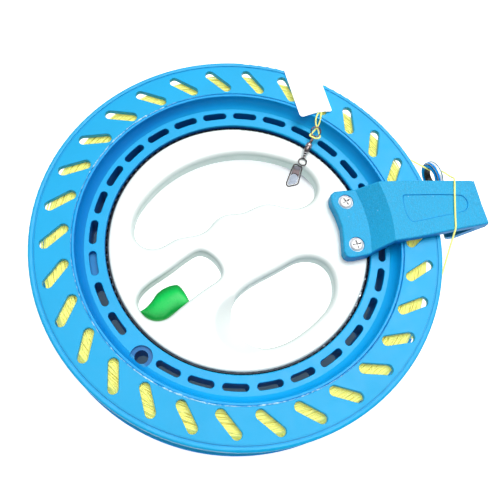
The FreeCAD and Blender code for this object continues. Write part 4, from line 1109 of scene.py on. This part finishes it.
def sheet_mesh(P, z0, z1, crown_=0.0):
    """Closed plate from an outline: rounded rim and a slightly crowned face."""
    P = np.asarray(P, float)
    cen = P.mean(0)
    n = len(P)
    V, F = [], []
    rings = [(1.0, z0), (1.0, z1 - 0.08), (0.985, z1 - 0.02), (0.96, z1), (0.8, z1 + crown_ * 0.6),
             (0.5, z1 + crown_ * 0.9), (0.2, z1 + crown_)]
    for k, z in rings:
        for p in P:
            q = cen + (p - cen) * k
            V.append((q[0], q[1], z))
    V.append((cen[0], cen[1], z1 + crown_))
    V.append((cen[0], cen[1], z0))
    for i in range(len(rings) - 1):
        for j in range(n):
            j2 = (j + 1) % n
            F.append((i * n + j, i * n + j2, (i + 1) * n + j2, (i + 1) * n + j))
    L = (len(rings) - 1) * n
    for j in range(n):
        F.append((L + j, L + (j + 1) % n, len(V) - 2))
        F.append(((j + 1) % n, j, len(V) - 1))
    area = 0.5 * sum(P[i - 1][0] * P[i][1] - P[i][0] * P[i - 1][1] for i in range(n))
    return V, (F if area > 0 else [f[::-1] for f in F])


inner2 = closed_smooth(INNER, 5)
V, F = sheet_mesh(inner2, 5.50, 5.70, 0.02)
plate_back = add_mesh("snap_window_plate", np.array(V) * MM, F)
m_window = metal("snap_window_nickel", [0.27, 0.305, 0.36], 0.55, 0.08)
give(plate_back, m_window)


def line_between(a_, b_, t_):
    return np.array(a_) * (1 - t_) + np.array(b_) * t_


# raised upper band with an arched lower edge over the window
def strip(top, bottom, z0, z1, lift):
    """Plate between two edges of equal length, slightly crowned, with side walls."""
    n, m = len(top), 10
    V = []
    for z, b_ in ((z1, lift), (z0, 0.0)):
        for j in range(m + 1):
            for i in range(n):
                p = np.array(top[i]) * (1 - j / m) + np.array(bottom[i]) * (j / m)
                V.append((p[0], p[1], z + b_ * math.sin(math.pi * (i + 0.0) / (n - 1)) ** 0.6))
    N0 = n * (m + 1)
    F = []
    for j in range(m):
        for i in range(n - 1):
            a_ = j * n + i
            F.append((a_, a_ + n, a_ + n + 1, a_ + 1))
            F.append((N0 + a_, N0 + a_ + 1, N0 + a_ + n + 1, N0 + a_ + n))
    ring_ = list(range(n)) + [j * n + n - 1 for j in range(1, m + 1)] + [m * n + i for i in range(n - 2, -1, -1)] \
        + [j * n for j in range(m - 1, 0, -1)]
    for k in range(len(ring_)):
        a_, b_ = ring_[k], ring_[(k + 1) % len(ring_)]
        F.append((a_, b_, N0 + b_, N0 + a_))
    return V, F


def between(a_, b_, n, bulge=0.0):
    t_ = np.linspace(0, 1, n)
    a_, b_ = np.array(a_, float), np.array(b_, float)
    d_ = b_ - a_
    nrm = np.array([-d_[1], d_[0]]) / np.linalg.norm(d_)
    return [tuple(a_ + d_ * q + nrm * bulge * math.sin(math.pi * q) ** 0.75) for q in t_]


NB = 21
V1, F1 = strip(between((29.25, 48.4), (33.35, 47.7), NB, 0.5), between((28.95, 47.1), (32.95, 46.3), NB, -0.5),
               5.74, 6.0, 0.08)
V2, F2 = strip(between((28.9, 46.95), (32.9, 46.15), NB, -0.5), between((27.45, 42.9), (31.75, 41.5), NB, 1.5),
               5.74, 6.02, 0.10)
top_ob = pieces_mesh("snap_top_band", [(V1, F1)])
give(top_ob, m_snaptop)
band_ob = pieces_mesh("snap_upper_band", [(V2, F2)])
give(band_ob, m_snap)
# thin rim round the window
tb = Tubes()
bend = np.array(between((28.85, 47.05), (32.95, 46.2), 16, -0.5))
tb.add(resample(np.c_[bend, np.full(16, 6.0)], 0.2), 0.22, sides=8)
arch_ = np.array(between((27.5, 42.9), (31.7, 41.5), 16, 1.5))
tb.add(resample(np.c_[arch_, np.full(16, 5.9)], 0.2), 0.10, sides=8)
rim_ob = tb.build("snap_window_rim")
give(rim_ob, m_snapwire)
for ob in (eye_ob, ring_ob, snap_ob, plate_back, top_ob, band_ob, rim_ob):
    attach(ob, "frame")
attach(barrel_ob, "swivel")
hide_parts("swivel_eye")
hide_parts("swivel_barrel")
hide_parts("swivel_lower_ring")
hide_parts("snap_wire")
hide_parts("snap_plate")
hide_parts("snap_plate")

# ---------------------------------------------------------------- shadow line in the arm's recess
PANEL = [(91.9, 8.8), (94.5, 8.6), (108, 7.0), (121.1, 5.1), (125.4, 3.6), (127.0, -0.2), (125.4, -4.0),
         (121.5, -5.6), (108, -6.5), (95.4, -7.4), (92.0, -6.8), (90.3, -1.7), (90.6, 5.0)]
ca_, sa_ = math.cos(math.radians(12.1)), math.sin(math.radians(12.1))
pts = np.array(PANEL)
cl = catmull(np.vstack([pts[-2:], pts, pts[:2]]), 400)
seg = np.r_[0, np.cumsum(np.linalg.norm(np.diff(np.vstack([pts[-2:], pts, pts[:2]]), axis=0), axis=1))]
tt = np.linspace(0, seg[-1], 400)
cl = cl[(tt >= seg[2]) & (tt < seg[-2])]
cen = cl.mean(0)
cl = cen + (cl - cen) * 0.996
W = np.stack([cl[:, 0] * ca_ - cl[:, 1] * sa_, cl[:, 0] * sa_ + cl[:, 1] * ca_, np.full(len(cl), 20.07)], 1)
tb = Tubes()
tb.add(resample(W, 0.5, closed=True), 0.24, sides=6, closed=True)
W2 = W + 0
W2[:, 2] = 20.36
W2[:, :2] = W2[:, :2].mean(0) + (W2[:, :2] - W2[:, :2].mean(0)) * 1.006
tb.add(resample(W2, 0.5, closed=True), 0.20, sides=6, closed=True)
groove_ob = tb.build("arm_recess_line")
m_groove = moulded("recess_shade", lin(26, 146, 214), 0.6, grain=0.1, specular=0.1)
give(groove_ob, m_groove)
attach(groove_ob, "frame")

# rolled rims of the arm screws' heads
tb = Tubes()
t = np.linspace(0, TAU, 60, endpoint=False)
for sv_ in (12.8, -12.8):
    sx, sy = 61.7 * ca_ - sv_ * sa_, 61.7 * sa_ + sv_ * ca_
    tb.add(np.stack([sx + 3.93 * np.cos(t), sy + 3.93 * np.sin(t), 10.55 + 0 * t], 1), 0.40, sides=8, closed=True)
collar_ob = tb.build("arm_screw_rims")
m_collar = metal("arm_screw_rim_nickel", [0.86, 0.87, 0.87], 0.45, 0.12)
m_collar.b.inputs["Metallic"].default_value = 0.25
give(collar_ob, m_collar)
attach(collar_ob, "frame")

# rolled edges of the guide ring's bright frame, coloured dark teal as a painted reflection
er_ = np.array([math.cos(math.radians(25)), math.sin(math.radians(25)), 0.0])
et_ = np.array([-er_[1], er_[0], 0.0])
ez_ = np.array([0, 0, 1.0])
rc_ = np.array([115.282, 53.757, -3.25])
t = np.linspace(0, TAU, 140, endpoint=False)
tb = Tubes()
for rr_, ax_, th_ in ((8.64, 1.20, 0.32), (8.60, 0.0, 0.10), (8.47, -1.70, 0.15)):
    tb.add(rc_ + er_ * ax_ + rr_ * (et_ * np.cos(t)[:, None] + ez_ * np.sin(t)[:, None]), th_, sides=8, closed=True)
rims_ob = tb.build("guide_ring_rims")
m_rims_dark_reflection = metal("ring_rim_steel", [0.10, 0.27, 0.38], 0.4, 0.1)
m_rims_dark_reflection.b.inputs["Metallic"].default_value = 0.3
give(rims_ob, m_rims_dark_reflection)
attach(rims_ob, "frame")
tb = Tubes()
for rr_, ax_, th_ in ((7.93, -1.98, 0.20), (5.55, -2.02, 0.16)):
    tb.add(rc_ + er_ * ax_ + rr_ * (et_ * np.cos(t)[:, None] + ez_ * np.sin(t)[:, None]), th_, sides=8, closed=True)
lipt = Tubes()
lipt.add(rc_ - er_ * 1.62 + 6.75 * (et_ * np.cos(t)[:, None] + ez_ * np.sin(t)[:, None]), 1.02, sides=16, closed=True)
lipt.add(rc_ - er_ * 1.0 + 8.15 * (et_ * np.cos(t)[:, None] + ez_ * np.sin(t)[:, None]), 0.75, sides=16, closed=True)
lip_ob = lipt.build("guide_ring_lip")
give(lip_ob, m_sleeve)
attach(lip_ob, "frame")
edge_ob = tb.build("guide_ring_edges")
m_edge = moulded("sleeve_edge_blue", [0.0, 0.035, 0.16], 0.34, grain=0.05, specular=0.1)
give(edge_ob, m_edge)
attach(edge_ob, "frame")

# ---------------------------------------------------------------- materials of the CAD nodes
LOOKS = {
    "wheel_hub": m_hub, "front_flange": m_blue, "rear_flange": m_rear, "bearing_retainer": m_dark,
    "outer_race": m_steel, "inner_race_front": m_steel, "inner_race_rear": m_steel, "bearing_balls": m_ball,
    "grip_front": m_white, "grip_rear": m_white, "grip_screws": m_screw, "arm_screws": m_armscrew,
    "arm_nuts": m_screw, "guide_ring_screw": m_screw, "brake_pad": m_rubber, "brake_pivot_pin": m_steel,
    "brake_spring": m_spring, "guide_arm": m_arm, "guide_ring_frame": m_chrome, "guide_ring_sleeve": m_sleeve,
    "guide_ring_insert": m_black,
}
for name, ob in NODES.items():
    if name in LOOKS:
        give(ob, LOOKS[name])
    ob.data.polygons.foreach_set("use_smooth", [True] * len(ob.data.polygons))

# ---------------------------------------------------------------- floor and light
fv, ff = [], []
nfl = 24
for j in range(nfl + 1):
    for i in range(nfl + 1):
        fv.append((-3 + 6 * i / nfl, -3 + 6 * j / nfl, -0.0209))
for j in range(nfl):
    for i in range(nfl):
        a_ = j * (nfl + 1) + i
        ff.append((a_, a_ + 1, a_ + nfl + 2, a_ + nfl + 1))
floor = add_mesh("floor", fv, ff)
m_floor = Mat("floor_white", [0.80, 0.80, 0.80], 0.8)
fn = m_floor.noise(14.0, 3.0)
sep = m_floor.node("ShaderNodeSeparateXYZ")
m_floor.link(m_floor.tc.outputs["Object"], sep.inputs[0])
rad = m_floor.math("SQRT", m_floor.math("ADD", m_floor.math("MULTIPLY", sep.outputs[0], sep.outputs[0]),
                                        m_floor.math("MULTIPLY", sep.outputs[1], sep.outputs[1])))
# painted shadow: the floor under the wheel's ring is dark, with a faint bluish glow
painted_shadow_under = m_floor.math("MULTIPLY", m_floor.rng(rad, 0.066, 0.070, 0, 1), m_floor.rng(rad, 0.099, 0.101, 1, 0))
outer = m_floor.rng(rad, 0.099, 0.101, 0, 1)
lit = m_floor.mix(outer, (0.86, 0.86, 0.86), (0.52, 0.52, 0.52))
lit = m_floor.mix(m_floor.rng(fn, 0.3, 0.7, 0, 0.03), lit, (0.8, 0.8, 0.8))
m_floor.color(m_floor.mix(painted_shadow_under, lit, (0.10, 0.11, 0.13)))
glow = m_floor.mix(outer, (0.72, 0.73, 0.73), (0.86, 0.86, 0.86))
m_floor.link(m_floor.mix(painted_shadow_under, glow, (0.034, 0.062, 0.092)), m_floor.b.inputs["Emission Color"])
m_floor.b.inputs["Emission Strength"].default_value = 1.0
m_floor.b.inputs["Specular IOR Level"].default_value = 0.05
give(floor, m_floor)

world = bpy.data.worlds.new("studio")
SC.world = world
world.use_nodes = True
wt = world.node_tree
wt.nodes.clear()
bg = wt.nodes.new("ShaderNodeBackground")
wo = wt.nodes.new("ShaderNodeOutputWorld")
bg.inputs[0].default_value = (1.0, 1.0, 1.0, 1)
wtc = wt.nodes.new("ShaderNodeTexCoord")
wsep = wt.nodes.new("ShaderNodeSeparateXYZ")
wmr = wt.nodes.new("ShaderNodeMapRange")
for i, v in zip((1, 2, 3, 4), (-0.9, 0.6, 0.16, 0.50)):
    wmr.inputs[i].default_value = v
wt.links.new(wtc.outputs["Generated"], wsep.inputs[0])
wt.links.new(wsep.outputs[1], wmr.inputs[0])
wt.links.new(wmr.outputs[0], bg.inputs[1])
wt.links.new(bg.outputs[0], wo.inputs[0])


def area(name, loc, target, size, power, color=(1, 1, 1)):
    d = bpy.data.lights.new(name, "AREA")
    d.shape = "SQUARE"
    d.size = size
    d.energy = power
    d.color = color
    o = bpy.data.objects.new(name, d)
    COL.objects.link(o)
    o.location = loc
    o.rotation_mode = "QUATERNION"
    o.rotation_quaternion = (Vector(target) - Vector(loc)).to_track_quat("-Z", "Y")
    return o


area("key", (0.36, 0.44, 1.22), (0, 0, 0), 0.75, 10.1)
area("top", (-0.05, 0.05, 1.5), (0, 0, 0), 1.3, 10.8)

SC.view_settings.view_transform = "Standard"
SC.view_settings.look = "None"
SC.view_settings.exposure = 0.0
SC.view_settings.gamma = 1.0

bpy.context.view_layer.update()
